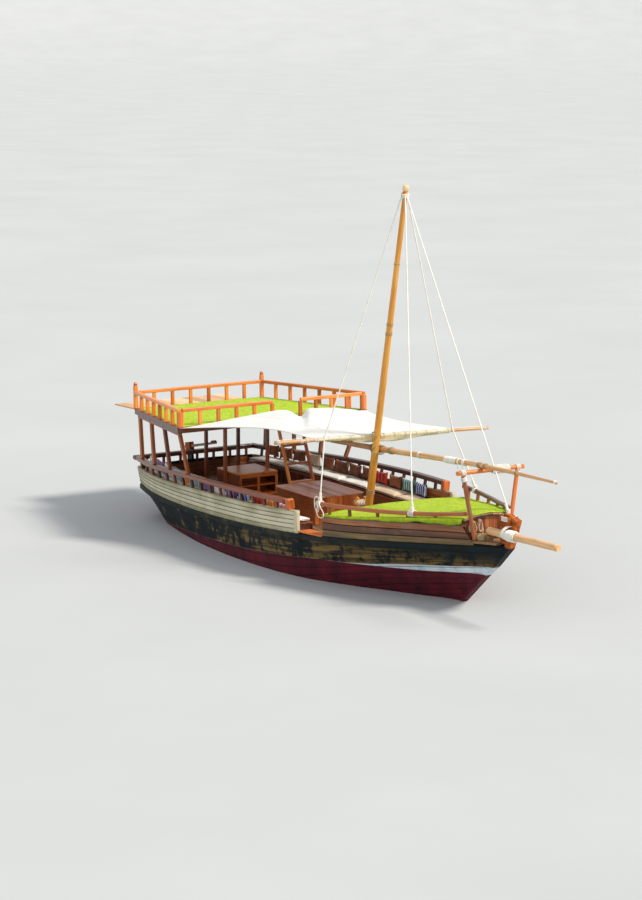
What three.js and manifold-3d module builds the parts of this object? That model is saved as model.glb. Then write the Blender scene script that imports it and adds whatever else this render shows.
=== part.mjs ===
// A dhow sailing boat: a wooden hull with open waist, a raised grass-covered upper deck aft,
// a foredeck, a forward-raking mast with its stays, a stowed yard on a gallows, and an awning.
// Millimetres. +X points to the bow, +Y to port, +Z up.
// The origin lies on the centreline amidships, at the level of the waterline.

import * as THREE from 'three';
import * as BufferGeometryUtils from 'three/addons/utils/BufferGeometryUtils.js';
import Module from 'manifold-3d';

const wasm = await Module();
wasm.setup();

// Driving dimensions
const GAP = 0.3;
const DECK_TOP = 780;
const DECK_THICKNESS = 60;
const HULL_TOP = DECK_TOP - DECK_THICKNESS - GAP;
const SIDE_THICKNESS = 65;
const STERN_X = -5040;
const STERN_RAKE = 0.21;
const KEEL_BOTTOM = -1100;
const KEEL_HALF = 70;
const GATE_X = [2650, 3420];
const GATE_SILL = 1050;
const FOREDECK_X = [3430, 6740];
const BEAK_TOP = 1450;
const STEPS_PER_STATION = 3;

const MAST = { foot: DECK_TOP + GAP, top: 8120, radiusFoot: 88, radiusTop: 52 };
const MAST_RAKE = 0.1994;
const mastX = (z) => 2390 + MAST_RAKE * (z - 1390);
const mastRadius = (z) => THREE.MathUtils.mapLinear(
  z, MAST.foot, MAST.top, MAST.radiusFoot, MAST.radiusTop);

const COLOURS = {
  hull: [0x1d2227, 0.6],
  maroon: [0x4a1218, 0.6],
  cream: [0xb9b59a, 0.7],
  varnish: [0x8a4a22, 0.5],
  darkWood: [0x4a2418, 0.6],
  orangeWood: [0xb5631f, 0.5],
  paleWood: [0xd9b27c, 0.6],
  honeyWood: [0xc68a3a, 0.5],
  turf: [0x86b51a, 0.95],
  cloth: [0xf4f1ea, 0.9],
  rope: [0xe6e2d8, 0.9],
  cushion: [0xa05070, 0.9],
  iron: [0x3a3a3c, 0.5],
  bronze: [0x8a6a35, 0.4],
  deck: [0x8c6a48, 0.7],
};

// Hull lines from stern to stem. Each row gives a section by four lines: the keel seam (x, z),
// the waterline (x, half-breadth), the wale (x, half-breadth, z) and the bulwark top
// (x, half-breadth, z). The last column is how full the bilge is between seam and waterline.
const stationColumns = ['seamX', 'seamZ', 'waterX', 'waterY', 'waleX', 'waleY', 'waleZ',
  'topX', 'topY', 'topZ', 'fullness'];
const stations = [
  [-4872, -800, -5040, 1020, -5201.7, 1540, 770, -5281.5, 1580, 1150, 0.85],
  [-4000, -860, -4100, 1440, -4200, 1790, 760, -4230, 1820, 1160, 1.15],
  [-2900, -900, -2950, 1690, -3000, 1950, 765, -3010, 1975, 1190, 1.45],
  [-1500, -920, -1500, 1900, -1500, 2060, 795, -1500, 2080, 1265, 1.75],
  [0, -920, 0, 1965, 0, 2095, 855, 0, 2110, 1325, 1.9],
  [1300, -900, 1400, 1890, 1500, 2050, 930, 1510, 2070, 1395, 1.85],
  [2350, -870, 2550, 1670, 2750, 1930, 1015, 2770, 1955, 1485, 1.65],
  [3250, -830, 3600, 1240, 3950, 1640, 1105, 3990, 1670, 1530, 1.4],
  [3950, -780, 4450, 790, 4950, 1310, 1190, 5010, 1340, 1610, 1.2],
  [4500, -720, 5120, 440, 5850, 950, 1270, 5930, 980, 1680, 1.1],
  [4800, -640, 5540, 200, 6650, 560, 1335, 6760, 590, 1725, 1.0],
  [5050, -500, 5870, 75, 7420, 80, 1395, 7560, 80, 1640, 1.0],
].map((row) => Object.fromEntries(row.map((value, i) => [stationColumns[i], value])));

const boat = new THREE.Group();

function addPiece(name, geometry, colour, parent = boat) {
  const [hex, roughness] = COLOURS[colour];
  const metalness = colour === 'iron' || colour === 'bronze' ? 0.8 : 0;
  const material = new THREE.MeshStandardMaterial({ color: hex, roughness, metalness });
  const mesh = new THREE.Mesh(geometry, material);
  mesh.name = name;
  parent.add(mesh);
  return mesh;
}

// Solid geometry helpers

function solid(geometry) {
  const plain = geometry.index ? geometry.toNonIndexed() : geometry.clone();
  plain.deleteAttribute('normal');
  plain.deleteAttribute('uv');
  const merged = BufferGeometryUtils.mergeVertices(plain, 1e-3);
  const mesh = new wasm.Mesh({
    numProp: 3,
    vertProperties: new Float32Array(merged.attributes.position.array),
    triVerts: new Uint32Array(merged.index.array),
  });
  mesh.merge();
  return new wasm.Manifold(mesh);
}

function geometryOf(manifold) {
  const mesh = manifold.getMesh();
  const geometry = new THREE.BufferGeometry();
  geometry.setAttribute('position', new THREE.BufferAttribute(mesh.vertProperties, 3));
  geometry.setIndex(new THREE.BufferAttribute(mesh.triVerts, 1));
  return geometry;
}

const join = (solids) => solids.reduce((whole, next) => whole.add(next));

// A box between two opposite corners
function block(low, high) {
  const size = high.map((value, i) => value - low[i]);
  const middle = high.map((value, i) => (value + low[i]) / 2);
  return solid(new THREE.BoxGeometry(...size).translate(...middle));
}

// A round bar from one point to another, with a radius at each end
function roundBar(from, to, radiusFrom, radiusTo = radiusFrom, sides = 12) {
  const start = new THREE.Vector3(...from);
  const way = new THREE.Vector3(...to).sub(start);
  const shape = new THREE.CylinderGeometry(radiusTo, radiusFrom, way.length(), sides);
  shape.translate(0, way.length() / 2, 0);
  const turn = new THREE.Quaternion().setFromUnitVectors(
    new THREE.Vector3(0, 1, 0), way.clone().normalize());
  shape.applyQuaternion(turn).translate(...from);
  return solid(shape);
}

// A square-cut plank from one point to another, its width across the boat
function plank(from, to, width, depth) {
  const start = new THREE.Vector3(...from);
  const way = new THREE.Vector3(...to).sub(start);
  const along = way.clone().normalize();
  const guide = Math.abs(along.y) > 0.9 ? new THREE.Vector3(1, 0, 0) : new THREE.Vector3(0, 1, 0);
  const up = new THREE.Vector3().crossVectors(along, guide).normalize();
  const side = new THREE.Vector3().crossVectors(up, along);
  const shape = new THREE.BoxGeometry(way.length(), width, depth);
  shape.translate(way.length() / 2, 0, 0);
  shape.applyMatrix4(new THREE.Matrix4().makeBasis(along, side, up));
  return solid(shape.translate(...from));
}

// A plate in the centreline plane from an outline of [x, z] points
function plate(outline, halfWidth) {
  const shape = new THREE.Shape(outline.map(([x, z]) => new THREE.Vector2(x, z)));
  const body = new THREE.ExtrudeGeometry(shape, { depth: 2 * halfWidth, bevelEnabled: false });
  return solid(body.rotateX(Math.PI / 2).translate(0, halfWidth, 0));
}

// A level slab from an outline of [x, y] points
function slab(outline, bottom, top) {
  const shape = new THREE.Shape(outline.map(([x, y]) => new THREE.Vector2(x, y)));
  const body = new THREE.ExtrudeGeometry(shape, { depth: top - bottom, bevelEnabled: false });
  return solid(body.translate(0, 0, bottom));
}

function flatCap(ring) {
  const outline = ring.map((point) => new THREE.Vector2(point.y, point.z));
  const faces = THREE.ShapeUtils.triangulateShape(outline, []);
  return THREE.ShapeUtils.isClockWise(outline) ? faces.map(([a, b, c]) => [a, c, b]) : faces;
}

function pairedCap(count) {
  const faces = [];
  for (let i = 0; i + 1 < count / 2; i += 1) {
    const [a, b, c, d] = [i, i + 1, count - 2 - i, count - 1 - i];
    if (c !== b) {
      faces.push([a, b, c]);
    }
    faces.push([a, c, d]);
  }
  return faces;
}

// A closed body through rings of equal length, its ends capped. paired caps join each point
// with its mirror across the centreline, and others are cut into triangles across y and z.
function loftGeometry(rings, paired) {
  const count = rings[0].length;
  const positions = rings.flat().flatMap((point) => [point.x, point.y, point.z]);
  const faces = [];
  for (let r = 0; r + 1 < rings.length; r += 1) {
    for (let i = 0; i < count; i += 1) {
      const a = r * count + i;
      const b = r * count + ((i + 1) % count);
      faces.push([a, b, b + count], [a, b + count, a + count]);
    }
  }
  const lastRing = (rings.length - 1) * count;
  for (const [ring, offset, isFirst] of [[rings[0], 0, true], [rings.at(-1), lastRing, false]]) {
    const cap = paired ? pairedCap(count) : flatCap(ring);
    for (const [a, b, c] of cap) {
      faces.push(isFirst ? [a + offset, c + offset, b + offset] : [a + offset, b + offset, c + offset]);
    }
  }
  const geometry = new THREE.BufferGeometry();
  geometry.setAttribute('position', new THREE.Float32BufferAttribute(positions, 3));
  geometry.setIndex(faces.flat());
  return geometry;
}

function signedVolume(geometry) {
  const at = geometry.attributes.position;
  const index = geometry.index.array;
  const [a, b, c] = [new THREE.Vector3(), new THREE.Vector3(), new THREE.Vector3()];
  let total = 0;
  for (let i = 0; i < index.length; i += 3) {
    a.fromBufferAttribute(at, index[i]);
    b.fromBufferAttribute(at, index[i + 1]);
    c.fromBufferAttribute(at, index[i + 2]);
    total += a.dot(b.cross(c));
  }
  return total;
}

function loft(rings, paired = false) {
  const geometry = loftGeometry(rings, paired);
  if (signedVolume(geometry) < 0) {
    return solid(loftGeometry(rings.map((ring) => [...ring].reverse()), paired));
  }
  return solid(geometry);
}

// Hull form

function stationAt(u) {
  const last = stations.length - 1;
  const i = Math.min(Math.floor(u), last - 1);
  const t = u - i;
  const row = (k) => stations[THREE.MathUtils.clamp(k, 0, last)];
  const blend = (key) => {
    const [a, b, c, d] = [row(i - 1)[key], row(i)[key], row(i + 1)[key], row(i + 2)[key]];
    const before = i === 0 ? c - b : (c - a) / 2;
    const after = i === last - 1 ? c - b : (d - b) / 2;
    return (2 * t ** 3 - 3 * t ** 2 + 1) * b + (t ** 3 - 2 * t ** 2 + t) * before
      + (3 * t ** 2 - 2 * t ** 3) * c + (t ** 3 - t ** 2) * after;
  };
  return Object.fromEntries(stationColumns.map((key) => [key, blend(key)]));
}

// The section's port half from keel seam to bulwark top, as points with y outwards
function halfSection(s) {
  const points = [];
  const bilgeSteps = 6;
  for (let k = 0; k <= bilgeSteps; k += 1) {
    const angle = (Math.PI / 2) * (k / bilgeSteps);
    const out = Math.sin(angle) ** (2 / s.fullness);
    const down = Math.cos(angle) ** (2 / s.fullness);
    points.push({
      x: s.waterX + (s.seamX - s.waterX) * down,
      y: KEEL_HALF + (s.waterY - KEEL_HALF) * out,
      z: s.seamZ * down,
    });
  }
  for (const t of [0.33, 0.67, 1]) {
    const bulge = 0.14 * t * (1 - t) * (s.waleY - s.waterY);
    points.push({
      x: THREE.MathUtils.lerp(s.waterX, s.waleX, t),
      y: THREE.MathUtils.lerp(s.waterY, s.waleY, t) + bulge,
      z: s.waleZ * t,
    });
  }
  points.push({ x: s.topX, y: s.topY, z: s.topZ });
  return points;
}

const mirrored = (half) => [
  ...half.map((p) => new THREE.Vector3(p.x, -p.y, p.z)).reverse(),
  ...half.map((p) => new THREE.Vector3(p.x, p.y, p.z)),
];

function hullRings(from, to, change = (half) => half) {
  const rings = [];
  const count = Math.round((to - from) * STEPS_PER_STATION);
  for (let k = 0; k <= count; k += 1) {
    const u = from + ((to - from) * k) / count;
    rings.push(mirrored(change(halfSection(stationAt(u)), u)));
  }
  return rings;
}

// Moves a half section inwards by a thickness, square to its line. A negative one grows it.
function inset(half, thickness) {
  return half.map((point, i) => {
    const before = half[Math.max(i - 1, 0)];
    const after = half[Math.min(i + 1, half.length - 1)];
    const dy = after.y - before.y;
    const dz = after.z - before.z;
    const length = Math.hypot(dy, dz);
    return {
      x: point.x,
      y: Math.max(point.y - (thickness * dz) / length, 20),
      z: point.z + (thickness * dy) / length,
    };
  });
}

// Forms that several pieces are cut from or fitted to
const lastStation = stations.length - 1;
const grow = (half) => {
  const grown = inset(half, -GAP);
  grown.at(-1).z += GAP;
  return grown;
};
const raise = (half) => [...half, { ...half.at(-1), z: half.at(-1).z + 600 }];
const formOf = (from, to, change) => loft(hullRings(from, to, change), true);
const outerForm = formOf(0, lastStation);
const grownForm = join([-GAP, GAP].map((shift) => formOf(0, lastStation, grow)
  .translate([shift, 0, 0])));
const INNER = { from: 0.09, to: 10.4 };
const innerForm = formOf(INNER.from, INNER.to, (half) => raise(inset(half, SIDE_THICKNESS)));
const fittedInside = formOf(INNER.from + 0.001, INNER.to - 0.001,
  (half) => raise(inset(half, SIDE_THICKNESS + GAP)));
const FAR = 20000;
const below = (z) => block([-FAR, -FAR, -FAR], [FAR, FAR, z]);
const above = (z) => block([-FAR, -FAR, z], [FAR, FAR, FAR]);

// The hull's lines at a given x, found along the wale ('waleX') or the bulwark top ('topX')
function linesAt(x, key) {
  let low = 0;
  let high = lastStation;
  for (let k = 0; k < 30; k += 1) {
    const middle = (low + high) / 2;
    if (stationAt(middle)[key] < x) {
      low = middle;
    } else {
      high = middle;
    }
  }
  return stationAt(low);
}
const bulwarkTop = (x) => {
  const lines = linesAt(x, 'topX');
  return { y: lines.topY, z: lines.topZ };
};
const waleLine = (x) => {
  const lines = linesAt(x, 'waleX');
  return { y: lines.waleY, z: lines.waleZ };
};

// A smooth line through rows of [x, y, z], as a function of x
function lineThrough(rows) {
  const curve = new THREE.CatmullRomCurve3(rows.map((row) => new THREE.Vector3(...row)));
  const points = curve.getPoints(80);
  return (x) => {
    const i = THREE.MathUtils.clamp(points.findIndex((p) => p.x >= x), 1, points.length - 1);
    const [a, b] = [points[i - 1], points[i]];
    const t = (x - a.x) / (b.x - a.x);
    return { y: THREE.MathUtils.lerp(a.y, b.y, t), z: THREE.MathUtils.lerp(a.z, b.z, t) };
  };
}

// A bar that follows the boat's side: outline is [out, up] from a line that gives { y, z } for x
function sideBar(side, fromX, toX, outline, line, step = 400) {
  const count = Math.max(2, Math.round((toX - fromX) / step));
  const rings = [];
  for (let k = 0; k <= count; k += 1) {
    const x = fromX + ((toX - fromX) * k) / count;
    const at = line(x);
    rings.push(outline.map(([out, up]) => new THREE.Vector3(x, side * (at.y + out), at.z + up)));
  }
  return loft(rings);
}
const rectangle = (out0, out1, up0, up1) => [[out0, up0], [out1, up0], [out1, up1], [out0, up1]];
const SIDES = [['starboard', -1], ['port', 1]];

// Hull, keel and posts

const ENGINE_BAY = { x: [-380, 1120], halfWidth: 480, bottom: -150 };
const ENGINE = { x: [-200, 950], halfWidth: 360, height: 640 };

function addHull() {
  const bay = block(
    [ENGINE_BAY.x[0], -ENGINE_BAY.halfWidth, ENGINE_BAY.bottom],
    [ENGINE_BAY.x[1], ENGINE_BAY.halfWidth, FAR]);
  addPiece('hull', geometryOf(outerForm.subtract(above(HULL_TOP)).subtract(bay)), 'hull');
  const bottom = ENGINE_BAY.bottom + GAP;
  addPiece('engine', geometryOf(block(
    [ENGINE.x[0], -ENGINE.halfWidth, bottom],
    [ENGINE.x[1], ENGINE.halfWidth, bottom + ENGINE.height])), 'iron');
}

const sternX = (z) => STERN_X - STERN_RAKE * z;
const HEEL_Z = -950;
const POST_DEPTH = 130;
const POST_TOP = 1150;
const STEM_SPLIT_X = 4300;
const STEM_HEAD = { x: [7290, 7640], halfWidth: 105, z: [1800, 2010] };

function addKeel() {
  const heel = sternX(HEEL_Z) - POST_DEPTH + 20;
  const outline = [
    [heel, KEEL_BOTTOM], [STEM_SPLIT_X - GAP, KEEL_BOTTOM], [STEM_SPLIT_X - GAP, -600],
    [sternX(-600) + 2 * GAP, -600], [sternX(HEEL_Z) + 2 * GAP, HEEL_Z - GAP], [heel, HEEL_Z - GAP],
  ];
  addPiece('keel', geometryOf(plate(outline, KEEL_HALF).subtract(grownForm)), 'maroon');
}

function addStem() {
  const outline = [
    [STEM_SPLIT_X, KEEL_BOTTOM], [4620, -1060], [5100, -850], [5520, -480], [6000, 0],
    [6820, 700], [7130, 940], [7590, 1370], [7790, 1900], [7810, 1970], [7440, 2060],
    [STEM_HEAD.x[0], 1980], [STEM_HEAD.x[0], 1200], [5600, 0], [4900, -500], [STEM_SPLIT_X, -600],
  ];
  const head = block(
    [STEM_HEAD.x[0], -STEM_HEAD.halfWidth, STEM_HEAD.z[0]],
    [STEM_HEAD.x[1], STEM_HEAD.halfWidth, STEM_HEAD.z[1]]);
  const hullSide = grownForm.subtract(above(BEAK_TOP + GAP));
  addPiece('stem', geometryOf(plate(outline, KEEL_HALF).add(head).subtract(hullSide)), 'varnish');
}

// The rudder turns on a line parallel to the sternpost, behind it. rudderFrame has its origin
// on that line at the waterline, x at right angles to it towards the bow, and z along it.
const AXIS_BACK = POST_DEPTH + 45;
const axisX = (z) => sternX(z) - AXIS_BACK;
const RUDDER_LEAN = Math.atan(STERN_RAKE);
const GUDGEON = { heights: [-930, 120, 900], eyeRadius: 34, eyeHeight: 60, pin: 13, bore: 13.6 };
const RUDDER = { half: 30, nose: 25, headBack: -190, headHalf: 62, top: 1600, bottom: -1010 };
const PROPELLER = { z: -480, radius: 230, hubRadius: 45, x: [-62, 30], blades: 3, pitch: 0.62 };
const SHAFT_RADIUS = 20;
const TILLER = { z: 1500, half: 35, length: 1250 };
const rudderFrame = new THREE.Group();
rudderFrame.position.set(axisX(0), 0, 0);
rudderFrame.rotation.y = -RUDDER_LEAN;
boat.add(rudderFrame);

function addSternpost() {
  const post = plate([
    [sternX(HEEL_Z) - GAP, HEEL_Z], [sternX(POST_TOP) - GAP, POST_TOP],
    [sternX(POST_TOP) - POST_DEPTH, POST_TOP], [sternX(HEEL_Z) - POST_DEPTH, HEEL_Z],
  ], KEEL_HALF);
  const upright = post.translate([-axisX(0), 0, 0])
    .rotate([0, THREE.MathUtils.radToDeg(RUDDER_LEAN), 0]);
  const { heights, eyeRadius, eyeHeight, bore } = GUDGEON;
  const strapEnd = AXIS_BACK - POST_DEPTH + 30;
  const eyes = heights.map((h) => join([
    roundBar([0, 0, h], [0, 0, h + eyeHeight], eyeRadius),
    block([0, -20, h], [strapEnd, 20, h + eyeHeight]),
  ]).subtract(roundBar([0, 0, h - eyeHeight], [0, 0, h + 2 * eyeHeight], bore)));
  const { z } = PROPELLER;
  const shaftHole = roundBar([0, 0, z], [2 * POST_DEPTH, 0, z], SHAFT_RADIUS + 1);
  const body = join([upright, ...eyes]).subtract(shaftHole);
  addPiece('sternpost', geometryOf(body), 'maroon', rudderFrame);
}

function addRudder() {
  const outline = [
    [RUDDER.nose, RUDDER.bottom], [-700, RUDDER.bottom], [-790, -900], [-790, -150],
    [-640, 250], [-330, 560], [-210, 700], [RUDDER.headBack, RUDDER.top],
    [RUDDER.nose, RUDDER.top],
  ];
  const head = block(
    [RUDDER.headBack, -RUDDER.headHalf, TILLER.z - 110], [RUDDER.nose, RUDDER.headHalf, RUDDER.top]);
  const clearance = PROPELLER.radius + 60;
  const aperture = block(
    [-260, -FAR, PROPELLER.z - clearance], [FAR, FAR, PROPELLER.z + clearance]);
  let body = plate(outline, RUDDER.half).add(head).subtract(aperture);
  const room = 10;
  for (const h of GUDGEON.heights) {
    const eyeRoom = block([-GUDGEON.eyeRadius - room, -FAR, h - room],
      [FAR, FAR, h + GUDGEON.eyeHeight + room]);
    const pin = roundBar([0, 0, h - 40], [0, 0, h + GUDGEON.eyeHeight + 40], GUDGEON.pin);
    body = body.subtract(eyeRoom).add(pin);
  }
  const slot = TILLER.half + GAP;
  body = body.subtract(block([-FAR, -slot, TILLER.z - slot], [FAR, slot, TILLER.z + slot]));
  addPiece('rudder', geometryOf(body), 'maroon', rudderFrame);
}

function addTiller() {
  // Columns: distance from the axis, share of the full half-width
  const steps = [[-260, 1], [0, 1], [TILLER.length, 0.7]];
  const rings = steps.map(([x, share]) => {
    const half = TILLER.half * share;
    return rectangle(-half, half, -half, half)
      .map(([y, z]) => new THREE.Vector3(x, y, TILLER.z + z));
  });
  addPiece('tiller', geometryOf(loft(rings)), 'orangeWood', rudderFrame);
}

function addPropeller() {
  const { z, radius, hubRadius, x, blades, pitch } = PROPELLER;
  const parts = [
    roundBar([x[0], 0, 0], [x[1], 0, 0], hubRadius * 0.6, hubRadius, 16),
    roundBar([x[1] - 5, 0, 0], [AXIS_BACK - 20, 0, 0], SHAFT_RADIUS),
  ];
  for (let k = 0; k < blades; k += 1) {
    const outline = new THREE.Shape();
    outline.moveTo(-24, 20);
    outline.quadraticCurveTo(-105, 150, -5, radius);
    outline.quadraticCurveTo(95, 150, 24, 20);
    const blade = new THREE.ExtrudeGeometry(
      outline, { depth: 8, bevelEnabled: false, curveSegments: 6 });
    blade.translate(0, 0, -4).rotateX(Math.PI / 2).rotateZ(Math.PI / 2 - pitch);
    blade.rotateX((2 * Math.PI * k) / blades).translate((x[0] + x[1]) / 2, 0, 0);
    parts.push(solid(blade));
  }
  const body = join(parts).translate([0, 0, z]);
  addPiece('propeller', geometryOf(body), 'bronze', rudderFrame);
}

// Sides above the deck line

const BEAK = { x: [6745, 7284], thickness: 50, cutX: [6730, 6870] };
const STERN_BOARD = 90;

function addTopsides() {
  const shell = outerForm.subtract(innerForm).subtract(below(HULL_TOP + GAP));
  const ahead = (gap) => plate([
    [sternX(0) + STERN_BOARD + gap, 0], [FAR, 0], [FAR, FAR],
    [sternX(FAR) + STERN_BOARD + gap, FAR]], FAR);
  addPiece('stern_board', geometryOf(shell.subtract(ahead(0))), 'darkWood');
  const beakLevel = BEAK_TOP - BEAK.thickness - GAP;
  const beakCut = plate([
    [BEAK.cutX[0], FAR], [BEAK.cutX[0], 1730], [BEAK.cutX[1], beakLevel], [FAR, beakLevel],
    [FAR, FAR]], FAR);
  const gate = block([GATE_X[0], -FAR, GATE_SILL], [FAR, FAR, FAR]);
  const sides = shell.intersect(ahead(GAP)).subtract(beakCut);
  for (const [hand, side] of SIDES) {
    const near = side * (GAP / 2);
    const edge = side * FAR;
    const half = (x0, x1) => block(
      [x0, Math.min(near, edge), -FAR], [x1, Math.max(near, edge), FAR]);
    const aft = sides.intersect(half(-FAR, GATE_X[1])).subtract(gate);
    addPiece(`bulwark_aft_${hand}`, geometryOf(aft), 'cream');
    const fore = sides.intersect(half(GATE_X[1] + GAP, FAR));
    addPiece(`bulwark_fore_${hand}`, geometryOf(fore), 'varnish');
    const wale = sideBar(side, -5150, 7330, rectangle(-30, 36, -115, 0), waleLine, 350);
    addPiece(`wale_${hand}`, geometryOf(wale.subtract(grownForm)), 'hull');
  }
}

// Decks

const STANCHIONS = [3600, 4150, 4850, 5550, 6150];

// A post of the fore rail, from inside the bulwark's top to inside the rail
function stanchion(x, side, room = 0) {
  const top = foreRailLine(x);
  const foot = bulwarkTop(x);
  return plank([x, side * (foot.y - 30), foot.z - 60], [x, side * top.y, top.z - 40],
    50 + room, 60 + room);
}

// The foredeck's height over the bulwark top along x, and its crown across
const foredeckRise = (x) => THREE.MathUtils.mapLinear(x, FOREDECK_X[0], FOREDECK_X[1], 0, 130);
const FOREDECK_CROWN = 80;
const DRAPE = SIDE_THICKNESS + 14;

function crownedSlab(fromX, toX, under, over, halfWidth, edgeDrop = 0) {
  const rings = [];
  const steps = 8;
  for (let k = 0; k <= steps; k += 1) {
    const x = fromX + ((toX - fromX) * k) / steps;
    const level = bulwarkTop(x).z + foredeckRise(x);
    const half = halfWidth(x);
    const inner = half - DRAPE;
    const across = [-half, -inner, -0.6 * half, 0, 0.6 * half, inner, half];
    const line = (lift) => across.map((y) => new THREE.Vector3(
      x, y, level + FOREDECK_CROWN * (1 - (y / half) ** 2) + lift));
    const upper = line(over);
    const lower = line(under).reverse();
    lower[0].z -= edgeDrop * foredeckRise(x);
    lower.at(-1).z -= edgeDrop * foredeckRise(x);
    rings.push([...upper, ...lower]);
  }
  return loft(rings);
}

const FOREDECK_THICKNESS = 60;
const TURF_THICKNESS = 22;
const BULKHEAD = 40;

function addDecks() {
  const level = block([-FAR, -FAR, DECK_TOP - DECK_THICKNESS], [6700, FAR, DECK_TOP]);
  addPiece('main_deck', geometryOf(fittedInside.intersect(level)), 'deck');
  const wide = (x) => bulwarkTop(x).y + 14;
  const fore = crownedSlab(FOREDECK_X[0], FOREDECK_X[1], -FOREDECK_THICKNESS, 0, wide);
  const turf = crownedSlab(FOREDECK_X[0], FOREDECK_X[1], -12, TURF_THICKNESS, wide, 0.7);
  const postRooms = join(SIDES.flatMap(
    ([, side]) => STANCHIONS.map((x) => stanchion(x, side, 1))));
  const boards = fore.intersect(fittedInside);
  const under = join([[0, 0, GAP], [0, GAP, 0], [0, -GAP, 0]].map((by) => boards.translate(by)));
  addPiece('foredeck', geometryOf(boards.subtract(postRooms)), 'deck');
  const laid = turf.subtract(under).subtract(grownForm).subtract(postRooms);
  addPiece('foredeck_turf', geometryOf(laid), 'turf');
  const room = crownedSlab(3000, 7000, -FOREDECK_THICKNESS - GAP, 900, wide);
  for (const [name, x] of [['foredeck_bulkhead', 3500], ['bow_bulkhead', 6640]]) {
    const wall = block([x, -FAR, DECK_TOP + GAP], [x + BULKHEAD, FAR, FAR]);
    addPiece(name, geometryOf(wall.intersect(fittedInside).subtract(room)), 'varnish');
  }
}

const BOWSPRIT = { heel: [6960, 1648], end: [9300, 1713], radiusHeel: 80, radiusEnd: 72 };
const bowspritY = -(KEEL_HALF + BOWSPRIT.radiusHeel + GAP);

function addBow() {
  const z0 = BEAK_TOP - BEAK.thickness;
  const outside = block([BEAK.cutX[1] + GAP, -FAR, z0], [BEAK.x[1], FAR, BEAK_TOP]);
  const inside = block([BEAK.x[0], -FAR, z0], [BEAK.cutX[1] + 60, FAR, BEAK_TOP]);
  const chock = block(
    [7000, bowspritY - 70, BEAK_TOP - 1],
    [7090, bowspritY + 70, BOWSPRIT.heel[1] - BOWSPRIT.radiusHeel + GAP]);
  const deck = outside.intersect(outerForm).add(inside.intersect(fittedInside)).add(chock);
  addPiece('beak_deck', geometryOf(deck), 'deck');
  const pole = roundBar(
    [BOWSPRIT.heel[0], bowspritY, BOWSPRIT.heel[1]], [BOWSPRIT.end[0], bowspritY, BOWSPRIT.end[1]],
    BOWSPRIT.radiusHeel, BOWSPRIT.radiusEnd, 14);
  addPiece('bowsprit', geometryOf(pole), 'paleWood');
}

// Rails along the sides

// Top of the cap rail and of the fore rail: columns x, y, z
const capLine = lineThrough([
  [-5250, 1570, 1420], [-4000, 1850, 1450], [-3000, 1980, 1510], [-2000, 2060, 1560],
  [-1000, 2100, 1600], [0, 2120, 1630], [1000, 2100, 1660], [2500, 1970, 1695],
]);
const foreRailLine = lineThrough([
  [3250, 1830, 1780], [4000, 1650, 1805], [5000, 1325, 1850], [6000, 910, 1930],
  [6820, 530, 2030],
]);
const CAP = { half: 85, thickness: 100, x: [-5200, 2450] };
const STERN_CAP_X = [-5370, -5200];
const FORE_RAIL = { half: 45, thickness: 80, x: [3300, 6790] };
const BALUSTER = { half: 30, spacing: 460 };

const foreRail = (side) => sideBar(side, ...FORE_RAIL.x,
  rectangle(-FORE_RAIL.half, FORE_RAIL.half, -FORE_RAIL.thickness, 0), foreRailLine);

function addSideRails() {
  for (const [hand, side] of SIDES) {
    const cap = sideBar(side, CAP.x[0] + GAP, CAP.x[1],
      rectangle(-CAP.half, CAP.half, -CAP.thickness, 0), capLine);
    const uprights = [];
    for (let x = CAP.x[1] - 45; x > CAP.x[0] + 100; x -= BALUSTER.spacing) {
      const half = uprights.length === 0 ? 45 : BALUSTER.half;
      const at = capLine(x);
      const y = side * at.y;
      uprights.push(block(
        [x - half, y - half, bulwarkTop(x).z - 80], [x + half, y + half, at.z - CAP.thickness / 2]));
    }
    const body = join([cap, ...uprights]).subtract(grownForm);
    addPiece(`balustrade_${hand}`, geometryOf(body), 'darkWood');

    const rail = foreRail(side);
    const posts = STANCHIONS.map((x) => stanchion(x, side).subtract(grownForm));
    addPiece(`rail_fore_${hand}`, geometryOf(join([rail, ...posts])), 'varnish');
  }
  const top = capLine(CAP.x[0]);
  const half = top.y + CAP.half;
  const cap = block(
    [STERN_CAP_X[0], -half, top.z - CAP.thickness], [STERN_CAP_X[1], half, top.z]);
  const middle = sternX(POST_TOP) + STERN_BOARD / 2;
  const uprights = [-1350, -900, -450, 0, 450, 900, 1350].map((y) => block(
    [middle - 28, y - 30, POST_TOP - 20], [middle + 28, y + 30, top.z - CAP.thickness / 2]));
  const body = join([cap, ...uprights]).subtract(grownForm);
  addPiece('balustrade_stern', geometryOf(body), 'darkWood');
}

// Upper deck: a level frame of its own, its origin at the middle of the front edge of the deck
// boards. x runs to the bow, and the aft end lies a little lower.

const UPPER = {
  x: -1570, z: 2680, slope: 0.03, length: 3540, halfFront: 2470, halfAft: 1730,
  boards: 36, fascia: 130, railTop: 400,
};
const upperFrame = new THREE.Group();
upperFrame.position.set(UPPER.x, 0, UPPER.z);
upperFrame.rotation.y = -UPPER.slope;
boat.add(upperFrame);
const upperHalf = (x) => UPPER.halfFront + ((UPPER.halfFront - UPPER.halfAft) * x) / UPPER.length;
const upperOutline = (margin) => [
  [-margin, -upperHalf(-margin) + margin], [-margin, upperHalf(-margin) - margin],
  [-UPPER.length + margin, upperHalf(-UPPER.length + margin) - margin],
  [-UPPER.length + margin, -upperHalf(-UPPER.length + margin) + margin],
];
const LADDER_GAP = [-40, 700];
const TURF_MARGIN = 95;
const SHELF = { x: [-5010, -3920], half: 1500, thickness: 30, z: -60 };

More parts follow.
